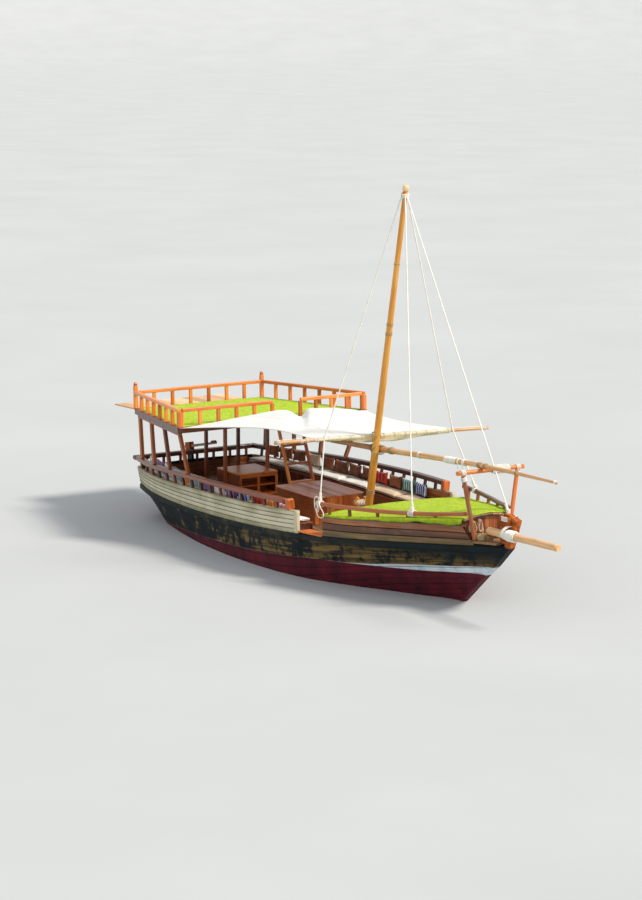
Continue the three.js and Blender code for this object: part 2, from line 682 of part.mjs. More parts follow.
function addUpperDeck() {
  const boards = slab(upperOutline(0), -UPPER.boards, 0);
  const skirt = slab(upperOutline(0), -UPPER.fascia, -UPPER.boards + 1)
    .subtract(slab(upperOutline(35), -UPPER.fascia - 1, -UPPER.boards - 1));
  const beams = [];
  for (const x of [-3300, -2400, -1330, -300]) {
    const half = upperHalf(x) - 20;
    beams.push(block([x - 35, -half, -UPPER.fascia + 5], [x + 35, half, -UPPER.boards + 1]));
  }
  for (const y of [-1150, 1150]) {
    beams.push(block([SHELF.x[0] + 60, y - 35, -UPPER.fascia + 5],
      [-UPPER.length + 100, y + 35, SHELF.z - SHELF.thickness - GAP]));
  }
  addPiece('upper_deck', geometryOf(join([boards, skirt, ...beams])), 'varnish', upperFrame);
  const turf = slab(upperOutline(TURF_MARGIN), GAP, TURF_THICKNESS);
  addPiece('upper_turf', geometryOf(turf), 'turf', upperFrame);
  const shelf = block([SHELF.x[0], -SHELF.half, SHELF.z - SHELF.thickness],
    [-UPPER.length - GAP, SHELF.half, SHELF.z]);
  addPiece('aft_shelf', geometryOf(shelf), 'paleWood', upperFrame);
}

// A straight rail with balusters between two points [x, y] of the upper deck's edge
function railRun(from, to, count) {
  const height = UPPER.railTop;
  const parts = [plank([...from, height - 25], [...to, height - 25], 70, 50)];
  for (let k = 0; k <= count; k += 1) {
    const x = THREE.MathUtils.lerp(from[0], to[0], k / count);
    const y = THREE.MathUtils.lerp(from[1], to[1], k / count);
    parts.push(block([x - 28, y - 28, GAP], [x + 28, y + 28, height - 25]));
  }
  return join(parts);
}

function addUpperRails() {
  const margin = 35;
  const aftX = -UPPER.length + margin;
  const half = (x) => upperHalf(x) - margin;
  const corner = (side) => block(
    [aftX - 40, side * half(aftX) - 40, GAP], [aftX + 40, side * half(aftX) + 40, 620]);
  const sides = SIDES.map(([, side]) => railRun(
    [aftX, side * half(aftX)], [-margin, side * half(-margin)], 7));
  const stern = railRun([aftX, -half(aftX)], [aftX, half(aftX)], 7);
  const ring = join([...sides, stern, corner(-1), corner(1)]);
  addPiece('upper_rail', geometryOf(ring), 'orangeWood', upperFrame);
  const step = 72;
  for (const [hand, from, to, count] of [
    ['starboard', -half(-margin) + step, LADDER_GAP[0], 5],
    ['port', LADDER_GAP[1], half(-margin) - step, 4]]) {
    const run = railRun([-margin, from], [-margin, to], count);
    addPiece(`upper_rail_front_${hand}`, geometryOf(run), 'orangeWood', upperFrame);
  }
}

// Underside of the upper deck at a given x of the boat
const upperUnder = (x) => UPPER.z - UPPER.fascia + UPPER.slope * (x - UPPER.x);

// Leaning posts from the cap rail to the upper deck: columns x of the foot, x of the top
const LEANING_POSTS = [[-4850, -4860], [-3850, -3920], [-2860, -2880], [-1860, -1700]];
const INNER_POSTS = [
  { name: 'aft', x: -4000, y: 430, foot: DECK_TOP },
  { name: 'fore', x: -2860, y: 560, foot: DECK_TOP },
];
const POST_WIDTH = 75;

function addPosts() {
  for (const [hand, side] of SIDES) {
    const members = LEANING_POSTS.map(([footX, topX]) => {
      const foot = capLine(footX);
      const top = upperHalf(topX - UPPER.x) - 75;
      return plank([footX, side * foot.y, foot.z - 60], [topX, side * top, upperUnder(topX) + 80],
        POST_WIDTH, POST_WIDTH);
    });
    const [first, last] = [LEANING_POSTS[0][1] - 80, LEANING_POSTS.at(-1)[1] + 80];
    const beamEnd = (x) => [x, side * (upperHalf(x - UPPER.x) - 75), upperUnder(x) - 35 - GAP];
    const beam = plank(beamEnd(first), beamEnd(last), 70, 60);
    const top = block([-FAR, -FAR, 0], [FAR, FAR, FAR])
      .rotate([0, -THREE.MathUtils.radToDeg(UPPER.slope), 0])
      .translate([UPPER.x, 0, UPPER.z - UPPER.fascia - GAP]);
    const capRoom = sideBar(side, CAP.x[0], CAP.x[1],
      rectangle(-300, 300, -300, GAP), capLine);
    const body = join([beam, ...members]).subtract(top).subtract(capRoom);
    addPiece(`posts_${hand}`, geometryOf(body), 'varnish');
  }
  for (const { name, x, y, foot } of INNER_POSTS) {
    const top = upperUnder(x) - 3;
    const half = POST_WIDTH / 2;
    const legs = [-y, y].map((at) => block(
      [x - half, at - half, foot + GAP], [x + half, at + half, top - 40]));
    const head = block([x - half, -y - 200, top - 80], [x + half, y + 200, top]);
    addPiece(`inner_posts_${name}`, geometryOf(join([...legs, head])), 'varnish');
  }
}

const LADDER = {
  foot: [-735, DECK_TOP], top: [-1519, 2640], y: [30, 640], treads: [920, 1310, 1700, 2090, 2460],
};

function addLadder() {
  const run = (LADDER.top[0] - LADDER.foot[0]) / (LADDER.top[1] - LADDER.foot[1]);
  const xAt = (z) => LADDER.foot[0] + run * (z - LADDER.foot[1]);
  const rails = LADDER.y.map((y) => plank(
    [xAt(DECK_TOP - 60), y, DECK_TOP - 60], [LADDER.top[0], y, LADDER.top[1]], 42, 85));
  const treads = LADDER.treads.map((z) => block(
    [xAt(z) - 80, LADDER.y[0], z - 17], [xAt(z) + 70, LADDER.y[1], z + 17]));
  const fascia = block([-FAR, -FAR, 2000], [UPPER.x + GAP, FAR, FAR]);
  const body = join([...rails, ...treads]).subtract(below(DECK_TOP + GAP)).subtract(fascia);
  addPiece('ladder', geometryOf(body), 'orangeWood');
}

const CASING = { x: [-440, 1170], half: 605, top: 1390, lid: 35, overhang: 25 };
const COUNTER = { x: [-3350, -2300], half: 510, top: 1330, slab: 35, shelf: 1030, recess: 420 };

function addFurniture() {
  addPiece('engine_casing', geometryOf(block(
    [CASING.x[0], -CASING.half, DECK_TOP + GAP],
    [CASING.x[1], CASING.half, CASING.top - CASING.lid - GAP])), 'varnish');
  addPiece('casing_lid', geometryOf(block(
    [CASING.x[0] - CASING.overhang, -CASING.half - CASING.overhang, CASING.top - CASING.lid],
    [CASING.x[1] + CASING.overhang, CASING.half + CASING.overhang, CASING.top])), 'varnish');
  const { x, half, top, shelf, recess } = COUNTER;
  const carcass = block([x[0], -half, DECK_TOP + GAP], [x[1], half, top]);
  const [aft, fore] = [x[1] - recess, x[1] + 10];
  const upper = block([aft, -half + 45, shelf + 20], [fore, half - 45, top - COUNTER.slab]);
  const lower = block([aft, -half + 45, DECK_TOP + 60], [fore, half - 45, shelf - 15]);
  const postRoom = INNER_POSTS.filter((row) => row.name === 'fore').flatMap((row) => [-1, 1]
    .map((side) => block([row.x - 40, side * row.y - 40, 0], [row.x + 40, side * row.y + 40, FAR])));
  const body = carcass.subtract(upper).subtract(lower).subtract(join(postRoom));
  addPiece('counter', geometryOf(body), 'orangeWood');
}

const BENCH = { x: [-4700, 2330], depth: 540, wall: 105, height: 350, stepX: [2330, 3380] };
const CUSHION = { thickness: 100, backHeight: 300, backWall: 110 };

function addBenches() {
  const line = (x) => ({ y: bulwarkTop(x).y, z: DECK_TOP });
  const inner = -BENCH.wall - BENCH.depth;
  for (const [hand, side] of SIDES) {
    const seat = sideBar(side, ...BENCH.x,
      rectangle(inner, -30, GAP, BENCH.height), line);
    const step = sideBar(side, ...BENCH.stepX,
      rectangle(inner + 120, -30, GAP, BENCH.height - 170), line, 200);
    const body = join([seat, step]).intersect(fittedInside);
    addPiece(`bench_${hand}`, geometryOf(body), 'varnish');
    const floor = BENCH.height + GAP;
    const top = floor + CUSHION.thickness;
    const outline = [
      [inner + 10, floor], [-CUSHION.backWall, floor],
      [-CUSHION.backWall, top + CUSHION.backHeight],
      [-CUSHION.backWall - 90, top + CUSHION.backHeight], [-CUSHION.backWall - 130, top],
      [inner + 10, top],
    ];
    const pads = sideBar(side, BENCH.x[0] + 30, BENCH.x[1] - 60, outline, line);
    addPiece(`cushions_${hand}`, geometryOf(pads), 'cushion');
  }
}

// Mast, yard, gallows and rigging

const BAND = { z: [8000, 8070], out: 36 };
const STAY_RADIUS = 12;
const BLOCK_SIZE = [60, 60, 110];
const TRUCK = { height: 130, radiusFoot: 70, radiusTop: 56 };
const HOLE_Z = [7000, 9000];
const BITTS = { x: [2040, 2120], y: 95, half: 40, top: 1500 };
const BITTS_BAR = { x: [2030, 2130], half: 170, z: [1330, 1400] };

// The rope band that the stays hang from, grown by a given amount all round
function mastBand(extra) {
  const [low, high] = [BAND.z[0] - extra, BAND.z[1] + extra];
  const outer = mastRadius(BAND.z[0]) + BAND.out + extra;
  return roundBar([mastX(low), 0, low], [mastX(high), 0, high], outer, outer, 16);
}

function addMast() {
  const { foot, top, radiusFoot, radiusTop } = MAST;
  const under = foot - 60;
  const shaft = roundBar([mastX(under), 0, under], [mastX(top), 0, top], radiusFoot, radiusTop, 16)
    .subtract(below(foot));
  addPiece('mast', geometryOf(shaft), 'honeyWood');
  const holeEnds = HOLE_Z.map((z) => [mastX(z), 0, z]);
  const hole = roundBar(...holeEnds, ...HOLE_Z.map((z) => mastRadius(z) + GAP), 16);
  addPiece('masthead_band', geometryOf(mastBand(0).subtract(hole)), 'rope');
  const truckAt = (rise) => [mastX(top + rise), 0, top + rise];
  const truck = roundBar(truckAt(GAP), truckAt(TRUCK.height), TRUCK.radiusFoot, TRUCK.radiusTop, 14);
  addPiece('masthead_truck', geometryOf(truck), 'orangeWood');
  const bitts = [-BITTS.y, BITTS.y].map((y) => block(
    [BITTS.x[0], y - BITTS.half, DECK_TOP + GAP], [BITTS.x[1], y + BITTS.half, BITTS.top]));
  const [barLow, barHigh] = [0, 1].map((i) => [
    BITTS_BAR.x[i], (2 * i - 1) * BITTS_BAR.half, BITTS_BAR.z[i],
  ]);
  addPiece('mast_bitts', geometryOf(join([...bitts, block(barLow, barHigh)])), 'honeyWood');
}

const GALLOWS = {
  foot: [6905, 410], head: [6830, 660], barZ: 2825, barHalf: 800, radius: 45,
};

function addGallows() {
  const { foot, head, barZ, barHalf, radius } = GALLOWS;
  const legs = [-1, 1].map((side) => roundBar(
    [foot[0], side * foot[1], BEAK_TOP - 40], [head[0], side * head[1], barZ], radius, radius, 10));
  const bar = roundBar([head[0], -barHalf, barZ], [head[0], barHalf, barZ], radius, radius, 10);
  const body = join([...legs, bar]).subtract(below(BEAK_TOP + GAP));
  addPiece('gallows', geometryOf(body), 'varnish');
}

// How far the mast's flat sides lie inside its circle where the yard and the pole touch it
const MAST_FACET = 0.5;
const YARD = { pivotZ: 2600, radiusPivot: 65, clearance: 5, restY: -200, radiusRest: 50 };
const yardPivot = {
  x: mastX(YARD.pivotZ),
  y: mastRadius(YARD.pivotZ) - MAST_FACET + YARD.radiusPivot + GAP,
  z: YARD.pivotZ,
};

function addYard() {
  const restZ = GALLOWS.barZ + GALLOWS.radius + YARD.radiusRest + YARD.clearance;
  // Columns: x, y, z, radius
  const points = [
    [-450, 400, 2370, 40], [yardPivot.x, yardPivot.y, yardPivot.z, YARD.radiusPivot],
    [GALLOWS.head[0], YARD.restY, restZ, YARD.radiusRest], [9580, -430, 3050, 26],
  ];
  const curve = new THREE.CatmullRomCurve3(
    points.map(([x, y, z]) => new THREE.Vector3(x, y, z)), false, 'centripetal');
  const steps = 18;
  const sides = 12;
  const rings = [];
  for (let k = 0; k <= steps; k += 1) {
    const at = curve.getPoint(k / steps);
    const i = Math.min(Math.floor((k / steps) * 3), 2);
    const share = THREE.MathUtils.clamp(
      (at.x - points[i][0]) / (points[i + 1][0] - points[i][0]), 0, 1);
    const radius = THREE.MathUtils.lerp(points[i][3], points[i + 1][3], share);
    rings.push(Array.from({ length: sides }, (_, j) => {
      const angle = (2 * Math.PI * j) / sides;
      return new THREE.Vector3(
        at.x, at.y + radius * Math.cos(angle), at.z + radius * Math.sin(angle));
    }));
  }
  addPiece('yard', geometryOf(loft(rings)), 'paleWood');
}

// Each stay runs from the masthead band to a block that stands on its seat, and two of them are
// tied back towards the awning's pole on the way: columns name, foot x, side (0 is the stem
// head), seat line, point of the tie
const STAYS = [
  ['shroud_aft_starboard', 3345, -1, foreRailLine, [3180, -1600, 3073]],
  ['shroud_fore_starboard', 5650, -1, foreRailLine],
  ['shroud_port', 3950, 1, foreRailLine, [3419, 1432, 3019]],
  ['forestay', 7450, 0, () => ({ y: 0, z: 2060 })],
];

function addStays() {
  const topZ = BAND.z[0] + 15;
  const reach = mastRadius(topZ) + BAND.out - STAY_RADIUS - 6;
  for (const [name, footX, side, seatLine, tie] of STAYS) {
    const seat = seatLine(footX);
    const foot = [footX, side * seat.y, seat.z];
    const next = tie ?? foot;
    const way = new THREE.Vector2(next[0] - mastX(topZ), next[1]).normalize();
    const top = [mastX(topZ) + way.x * reach, way.y * reach, topZ];
    const fitting = block(
      [foot[0] - BLOCK_SIZE[0] / 2, foot[1] - BLOCK_SIZE[1] / 2, foot[2] - 20],
      [foot[0] + BLOCK_SIZE[0] / 2, foot[1] + BLOCK_SIZE[1] / 2, foot[2] + BLOCK_SIZE[2]]);
    const route = [[foot[0], foot[1], foot[2] + BLOCK_SIZE[2] / 2], ...(tie ? [tie] : []), top];
    const lines = route.slice(1).map((end, i) => roundBar(route[i], end, STAY_RADIUS, STAY_RADIUS, 8));
    const held = side === 0 ? block([-FAR, -FAR, -FAR], [FAR, FAR, seat.z + GAP])
      : foreRail(side).translate([0, 0, GAP]).add(foreRail(side));
    const body = join([fitting, ...lines]).subtract(held).subtract(mastBand(GAP));
    addPiece(name, geometryOf(body), 'rope');
  }
}

// Awning: a sheet from the upper deck's front edge to a pole lashed behind the mast

const POLE = {
  radius: 40, radiusEnd: 34, y: [-2200, 2620], z: [2870, 2900], skew: 890 / 4820, atMast: 2884,
};
const poleBack = (mastRadius(POLE.atMast) - 2 * MAST_FACET + POLE.radius) / Math.cos(Math.atan(POLE.skew));
const poleAt = (y) => ({
  x: mastX(POLE.atMast) - poleBack + POLE.skew * y,
  z: THREE.MathUtils.mapLinear(y, ...POLE.y, ...POLE.z),
  radius: THREE.MathUtils.mapLinear(y, ...POLE.y, POLE.radius, POLE.radiusEnd),
});
const AWNING = {
  thickness: 10, aftHalf: 2440, foreY: [-1640, 1790], hollow: 330, belly: 300, edgeLift: 70,
  columns: 12, rows: 10,
};

function addAwning() {
  const ends = POLE.y.map((y) => [poleAt(y).x, y, poleAt(y).z]);
  addPiece('awning_pole', geometryOf(roundBar(...ends, POLE.radius, POLE.radiusEnd, 12)), 'paleWood');
  const { thickness, columns, rows } = AWNING;
  const grid = (lift) => {
    const lines = [];
    for (let r = 0; r <= rows; r += 1) {
      const v = r / rows;
      const line = [];
      for (let c = 0; c <= columns; c += 1) {
        const u = c / columns;
        const aftY = THREE.MathUtils.lerp(-AWNING.aftHalf, AWNING.aftHalf, u);
        const foreY = THREE.MathUtils.lerp(AWNING.foreY[0], AWNING.foreY[1], u);
        const pull = AWNING.hollow * Math.sin(Math.PI * v) * (1 - 2 * u);
        const y = THREE.MathUtils.lerp(aftY, foreY, v) + pull;
        const fore = poleAt(foreY);
        const x = THREE.MathUtils.lerp(UPPER.x + 3 * GAP, fore.x, v);
        const edgeZ = THREE.MathUtils.lerp(UPPER.z - 20, fore.z + fore.radius + GAP, v);
        const belly = AWNING.belly * Math.sin(Math.PI * v ** 0.62) * Math.sin(Math.PI * u) ** 0.8;
        const side = AWNING.edgeLift * Math.sin(Math.PI * v) * (1 - u);
        line.push(new THREE.Vector3(x, y, edgeZ + belly + side + lift));
      }
      lines.push(line);
    }
    return lines;
  };
  const [upper, lower] = [grid(thickness), grid(0)];
  const rings = upper.map((line, r) => [...line, ...[...lower[r]].reverse()]);
  addPiece('awning', geometryOf(loft(rings)), 'cloth');
}

addHull();
addKeel();
addStem();
addSternpost();
addRudder();
addTiller();
addPropeller();
addTopsides();
addDecks();
addBow();
addSideRails();
addUpperDeck();
addUpperRails();
addPosts();
addLadder();
addFurniture();
addBenches();
addMast();
addGallows();
addYard();
addStays();
addAwning();

export default boat;
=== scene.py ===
# The looks of the dhow: finishes, planking, cloth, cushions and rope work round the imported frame.
# Metres. +X points to the bow, +Y to port, +Z up, and the water lies at z = 0.
import math
import random

import bmesh
import bpy
import numpy as np
from mathutils import Matrix, Vector


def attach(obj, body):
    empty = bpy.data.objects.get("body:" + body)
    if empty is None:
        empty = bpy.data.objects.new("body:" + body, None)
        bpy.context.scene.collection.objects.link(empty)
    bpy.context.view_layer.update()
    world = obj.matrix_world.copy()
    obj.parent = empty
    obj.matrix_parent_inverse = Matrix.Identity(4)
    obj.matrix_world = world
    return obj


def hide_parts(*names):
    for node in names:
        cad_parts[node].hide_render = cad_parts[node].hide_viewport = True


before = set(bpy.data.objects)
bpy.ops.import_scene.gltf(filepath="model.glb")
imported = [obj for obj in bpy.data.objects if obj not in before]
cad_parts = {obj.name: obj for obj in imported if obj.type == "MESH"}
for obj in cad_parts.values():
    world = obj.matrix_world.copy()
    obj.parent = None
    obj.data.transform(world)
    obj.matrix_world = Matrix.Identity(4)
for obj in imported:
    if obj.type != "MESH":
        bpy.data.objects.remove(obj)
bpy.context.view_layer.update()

chance = random.Random(11)
TAU = 2 * math.pi
SIDES = (("starboard", -1), ("port", 1))


# Camera, floor and light

CAMERA = {"place": (46.4467, -28.1985, 11.7772), "target": (-0.2026, 0.3882, 2.1300), "lens": 100}
FLOOR = ((0, 0), (400, 0), (450, 3), (500, 14), (540, 34), (570, 62), (590, 100))
SUN = {"towards": (0.62, 0.50, 0.82), "strength": 3.9, "spread": 12, "colour": "fff7ea"}
FILL = {"towards": (0.70, -0.66, 0.36), "strength": 0.7, "spread": 55, "colour": "fff4e6"}
SKY = {"colour": "eaf0f6", "strength": 0.78}


def linear(code):
    """A colour code such as 8a4a22 as linear red, green, blue and alpha."""
    parts = [int(code[i:i + 2], 16) / 255 for i in (0, 2, 4)]
    return tuple(p / 12.92 if p < 0.04045 else ((p + 0.055) / 1.055) ** 2.4 for p in parts) + (1.0,)


def add_camera():
    camera = bpy.data.objects.new("camera", bpy.data.cameras.new("camera"))
    camera.data.lens = CAMERA["lens"]
    camera.data.clip_end = 1000
    camera.location = CAMERA["place"]
    way = Vector(CAMERA["target"]) - camera.location
    camera.rotation_euler = way.to_track_quat("-Z", "Y").to_euler()
    bpy.context.scene.collection.objects.link(camera)
    bpy.context.scene.camera = camera


def add_light():
    for name, facts in (("sun", SUN), ("fill", FILL)):
        lamp = bpy.data.lights.new(name, "SUN")
        lamp.energy = facts["strength"]
        lamp.angle = math.radians(facts["spread"])
        lamp.color = linear(facts["colour"])[:3]
        lamp_object = bpy.data.objects.new(name, lamp)
        lamp_object.rotation_euler = Vector(facts["towards"]).to_track_quat("Z", "Y").to_euler()
        bpy.context.scene.collection.objects.link(lamp_object)
    world = bpy.data.worlds.new("sky")
    world.use_nodes = True
    background = world.node_tree.nodes["Background"]
    background.inputs["Color"].default_value = linear(SKY["colour"])
    background.inputs["Strength"].default_value = SKY["strength"]
    bpy.context.scene.world = world
    bpy.context.scene.view_settings.view_transform = "Standard"


# Node materials

class Shader:
    """A material and short ways to add nodes to it."""

    def __init__(self, name):
        self.material = bpy.data.materials.new(name)
        self.material.use_nodes = True
        self.tree = self.material.node_tree
        self.surface = self.tree.nodes["Principled BSDF"]

    def put(self, socket, value):
        if isinstance(value, bpy.types.NodeSocket):
            self.tree.links.new(value, socket)
        else:
            socket.default_value = value

    def node(self, kind, inputs=None, **settings):
        made = self.tree.nodes.new("ShaderNode" + kind)
        for key, value in settings.items():
            setattr(made, key, value)
        for key, value in (inputs or {}).items():
            self.put(made.inputs[key], value)
        return made

    def set(self, **values):
        for key, value in values.items():
            socket = key.replace("_", " ").title().replace("Ior", "IOR")
            self.put(self.surface.inputs[socket], value)

    def math(self, operation, a, b=0.0):
        return self.node("Math", {0: a, 1: b}, operation=operation).outputs[0]

    def plus(self, a, b):
        return self.math("ADD", a, b)

    def times(self, a, b):
        return self.math("MULTIPLY", a, b)

    def mix(self, share, a, b):
        return self.node("Mix", {0: share, 6: a, 7: b}, data_type="RGBA").outputs[2]

    def ramp(self, value, *stops, bands=False):
        made = self.node("ValToRGB", {0: value})
        made.color_ramp.interpolation = "CONSTANT" if bands else "LINEAR"
        points = made.color_ramp.elements
        while len(points) < len(stops):
            points.new(0.5)
        for point, (place, colour) in zip(points, stops):
            point.position = place
            point.color = linear(colour) if isinstance(colour, str) else (colour,) * 3 + (1,)
        return made.outputs[0]

    def place(self):
        return self.node("TexCoord").outputs["Object"]

    def value(self, name):
        return self.node("Attribute", attribute_name=name).outputs["Fac"]

    def vector(self, name):
        return self.node("Attribute", attribute_name=name).outputs["Vector"]

    def stretched(self, vector, factors):
        made = self.node("VectorMath", {0: vector, 1: factors}, operation="MULTIPLY")
        return made.outputs[0]

    def parts(self, vector):
        return self.node("SeparateXYZ", {0: vector}).outputs

    def joined(self, x, y, z):
        return self.node("CombineXYZ", {0: x, 1: y, 2: z}).outputs[0]

    def noise(self, vector, scale, detail=4.0, roughness=0.55, distortion=0.0):
        made = self.node("TexNoise", {
            "Vector": vector, "Scale": scale, "Detail": detail, "Roughness": roughness,
            "Distortion": distortion})
        return made.outputs[0]

    def step(self, value, low, high):
        made = self.node("MapRange", {0: value, 1: low, 2: high}, interpolation_type="SMOOTHSTEP")
        return made.outputs[0]

    def bump(self, height, distance, strength=1.0):
        made = self.node("Bump", {"Height": height, "Distance": distance, "Strength": strength})
        self.put(self.surface.inputs["Normal"], made.outputs[0])

    def curve(self, value, points, low, high):
        """A smooth line through (x, height) points, read at an x between -6 and 8."""
        share = self.node("MapRange", {0: value, 1: -6.0, 2: 8.0}).outputs[0]
        made = self.node("FloatCurve", {"Value": share})
        line = made.mapping.curves[0]
        spots = [((x + 6) / 14, (z - low) / (high - low)) for x, z in points]
        line.points[0].location = spots[0]
        line.points[1].location = spots[-1]
        for spot in spots[1:-1]:
            line.points.new(*spot)
        made.mapping.update()
        return self.node("MapRange", {0: made.outputs[0], 3: low, 4: high}).outputs[0]


AXES = {"x": (0, 1, 2), "y": (1, 2, 0), "z": (2, 0, 1)}


def grain_place(s, axis):
    """Where a point lies in the grain: along, across and through. With no axis it is the mesh's own."""
    if axis is None:
        return s.vector("grain")
    parts = s.parts(s.place())
    return s.joined(*[parts[i] for i in AXES[axis]])


def wood(name, shades, axis=None, rough=0.42, coat=0.25, weather=0.25):
    """Timber: shades are dark, middle and light colours of the grain."""
    s = Shader(name)
    place = grain_place(s, axis)
    streak = s.noise(s.stretched(place, (1.3, 24, 24)), 1.0, 6, 0.62, 0.35)
    patch = s.noise(s.stretched(place, (0.9, 3.2, 3.2)), 1.0, 3)
    fine = s.noise(s.stretched(place, (6, 170, 170)), 1.0, 3)
    tone = s.value("tone") if axis is None else 0.5
    mixed = s.plus(s.times(streak, 0.55), s.times(patch, 0.45))
    shade = s.plus(mixed, s.times(s.math("SUBTRACT", tone, 0.5), 0.42))
    colour = s.ramp(shade, (0.30, shades[0]), (0.52, shades[1]), (0.74, shades[2]))
    grey = s.noise(s.place(), 1.7, 4)
    colour = s.mix(s.times(s.step(grey, 0.5, 0.75), weather), colour, linear("8d7a6a"))
    edge = s.times(s.value("wear"), s.step(fine, 0.35, 0.65))
    colour = s.mix(s.times(edge, 0.55), colour, linear(shades[2]))
    colour = s.mix(s.value("seam_and_shade"), colour, linear("1a0f0a"))
    s.set(base_color=colour, roughness=s.plus(s.times(patch, 0.3), rough - 0.15),
          coat_weight=coat, coat_roughness=0.22)
    height = s.plus(s.times(streak, 0.7), s.times(fine, 0.3))
    s.bump(height, 0.004, 0.6)
    return s.material


MAROON_TOP = [(-5.4, -0.02), (-2.1, 0.18), (0.86, 0.34), (3.09, 0.51), (3.8, 0.54), (5.35, 0.61),
              (6.39, 0.68), (7.6, 0.71)]
STRIPE_TOP = [(-5.4, -0.02), (-2.1, 0.18), (0.86, 0.34), (3.09, 0.51), (3.8, 0.545), (5.35, 0.73),
              (6.39, 0.83), (7.6, 0.95)]
WOOD_FROM = 1.375


def hull_paint(name, axis=None, wooden_head=False, bare_share=0.85):
    """Maroon below, a pale wedge of stripe forward, worn black above, and bare wood on the stem's head."""
    s = Shader(name)
    place = s.place()
    x, _, z = s.parts(place)
    wobble = s.times(s.math("SUBTRACT", s.noise(place, 3.0), 0.5), 0.02)
    level = s.plus(z, wobble)
    below_stripe = s.math("SUBTRACT", level, s.curve(x, MAROON_TOP, -0.1, 1.1))
    below_black = s.math("SUBTRACT", level, s.curve(x, STRIPE_TOP, -0.1, 1.1))
    grain = grain_place(s, axis)
    streak = s.noise(s.stretched(grain, (1.0, 14, 14)), 1.0, 5)
    tall = s.noise(s.stretched(place, (3.1, 3.1, 1.1)), 1.0, 5, 0.65)
    blot = s.noise(s.stretched(place, (3.4, 3.4, 1.9)), 1.0, 8, 0.72)
    maroon = s.ramp(tall, (0.3, "38101a"), (0.5, "551222"), (0.72, "6c1a26"))
    stripe = s.ramp(tall, (0.3, "a9bccb"), (0.6, "cfdbe4"))
    bare = s.ramp(streak, (0.3, "302716"), (0.5, "6a5832"), (0.7, "937742"))
    black = s.ramp(tall, (0.35, "020a0f"), (0.65, "061a20"))
    forward = s.node("MapRange", {0: x, 1: -3.2, 2: 4.0, 3: 0.03, 4: 0.17}).outputs[0]
    scuff = s.times(s.math("SUBTRACT", streak, 0.5), 0.35)
    bared = s.step(s.plus(s.plus(blot, scuff), forward), 0.585, 0.70)
    rub = s.step(z, 1.2, 0.75)
    black = s.mix(s.times(bared, s.times(rub, bare_share)), black, bare)
    seam_and_shade = s.value("seam_and_shade")
    colour = s.mix(s.step(below_stripe, -0.006, 0.006), maroon, stripe)
    colour = s.mix(s.step(below_black, -0.006, 0.006), colour, black)
    if wooden_head:
        head = s.ramp(streak, (0.3, "6b2c0c"), (0.5, "a5541a"), (0.72, "cf7a2c"))
        colour = s.mix(s.step(z, WOOD_FROM - 0.01, WOOD_FROM + 0.01), colour, head)
    colour = s.mix(s.times(seam_and_shade, 0.9), colour, linear("050708"))
    s.set(base_color=colour, roughness=s.plus(s.times(streak, 0.3), 0.45),
          specular_ior_level=0.22)
    s.bump(s.plus(streak, s.times(blot, 0.6)), 0.004, 0.5)
    return s.material


def plank_paint(name, shades, bare, wear=0.5):
    """Old paint on planks, with the wood showing at seams and in streaks."""
    s = Shader(name)
    streak = s.noise(s.stretched(s.vector("grain"), (1.1, 20, 20)), 1.0, 6, 0.65)
    patch = s.noise(s.stretched(s.place(), (1.4, 1.4, 2.2)), 1.0, 5)
    drip = s.noise(s.stretched(s.place(), (9, 9, 0.8)), 1.0, 4)
    tone = s.times(s.math("SUBTRACT", s.value("tone"), 0.5), 0.35)
    colour = s.ramp(s.plus(patch, tone), (0.3, shades[0]), (0.5, shades[1]), (0.7, shades[2]))
    flaked = s.step(s.plus(streak, s.times(s.value("seam_and_shade"), 0.1)), 0.6, 0.72)
    colour = s.mix(s.times(flaked, wear), colour, linear(bare))
    colour = s.mix(s.times(s.step(drip, 0.55, 0.75), 0.3), colour, linear("6b6252"))
    colour = s.mix(s.times(s.value("wear"), 0.35), colour, linear(bare))
    colour = s.mix(s.times(s.value("seam_and_shade"), 0.8), colour, linear("2a241b"))
    s.set(base_color=colour, roughness=s.plus(s.times(patch, 0.25), 0.45))
    s.bump(s.plus(streak, s.times(drip, 0.4)), 0.004, 0.5)
    return s.material


def turf_finish():
    s = Shader("turf")
    place = s.place()
    blades = s.noise(s.stretched(place, (1, 1, 0.35)), 95, 3, 0.7)
    clumps = s.noise(place, 11, 5, 0.6)
    worn = s.noise(s.stretched(place, (0.6, 1.6, 1)), 1.3, 3)
    shade = s.plus(s.times(blades, 0.5), s.times(clumps, 0.5))
    colour = s.ramp(shade, (0.3, "6a8200"), (0.5, "a4bf00"), (0.68, "c4dc10"))
    colour = s.mix(s.times(s.step(worn, 0.52, 0.7), 0.35), colour, linear("c2d020"))
    # Darker green down the foredeck cover's drape: painted shade under the deck's edge
    colour = s.mix(s.value("seam_and_shade"), colour, linear("34500a"))
    s.set(base_color=colour, roughness=0.9, sheen_weight=0.05, sheen_roughness=0.5)
    s.bump(s.plus(blades, s.times(clumps, 0.8)), 0.012, 0.9)
    return s.material


def cloth_finish(name, shades, weave=240, width=0.0, bands=()):
    """Woven cloth, with bands of colours of this width across the grain's first direction."""
    s = Shader(name)
    grain = s.vector("grain")
    threads = [s.node("TexWave", {"Vector": grain, "Scale": weave}, bands_direction=way).outputs[0]
               for way in "XY"]
    colour = s.ramp(s.noise(s.place(), 2.4, 4), (0.3, shades[0]), (0.62, shades[1]))
    if bands:
        share = s.math("FRACT", s.math("DIVIDE", s.parts(grain)[0], width))
        stops = [(i / len(bands), code) for i, code in enumerate(bands)]
        colour = s.mix(0.85, colour, s.ramp(share, *stops, bands=True))
    colour = s.mix(s.times(s.value("seam_and_shade"), 0.6), colour, linear("5a4a3a"))
    s.set(base_color=colour, roughness=0.85, sheen_weight=0.2, sheen_roughness=0.4)
    s.bump(s.plus(*threads), 0.0015, 0.5)
    return s.material


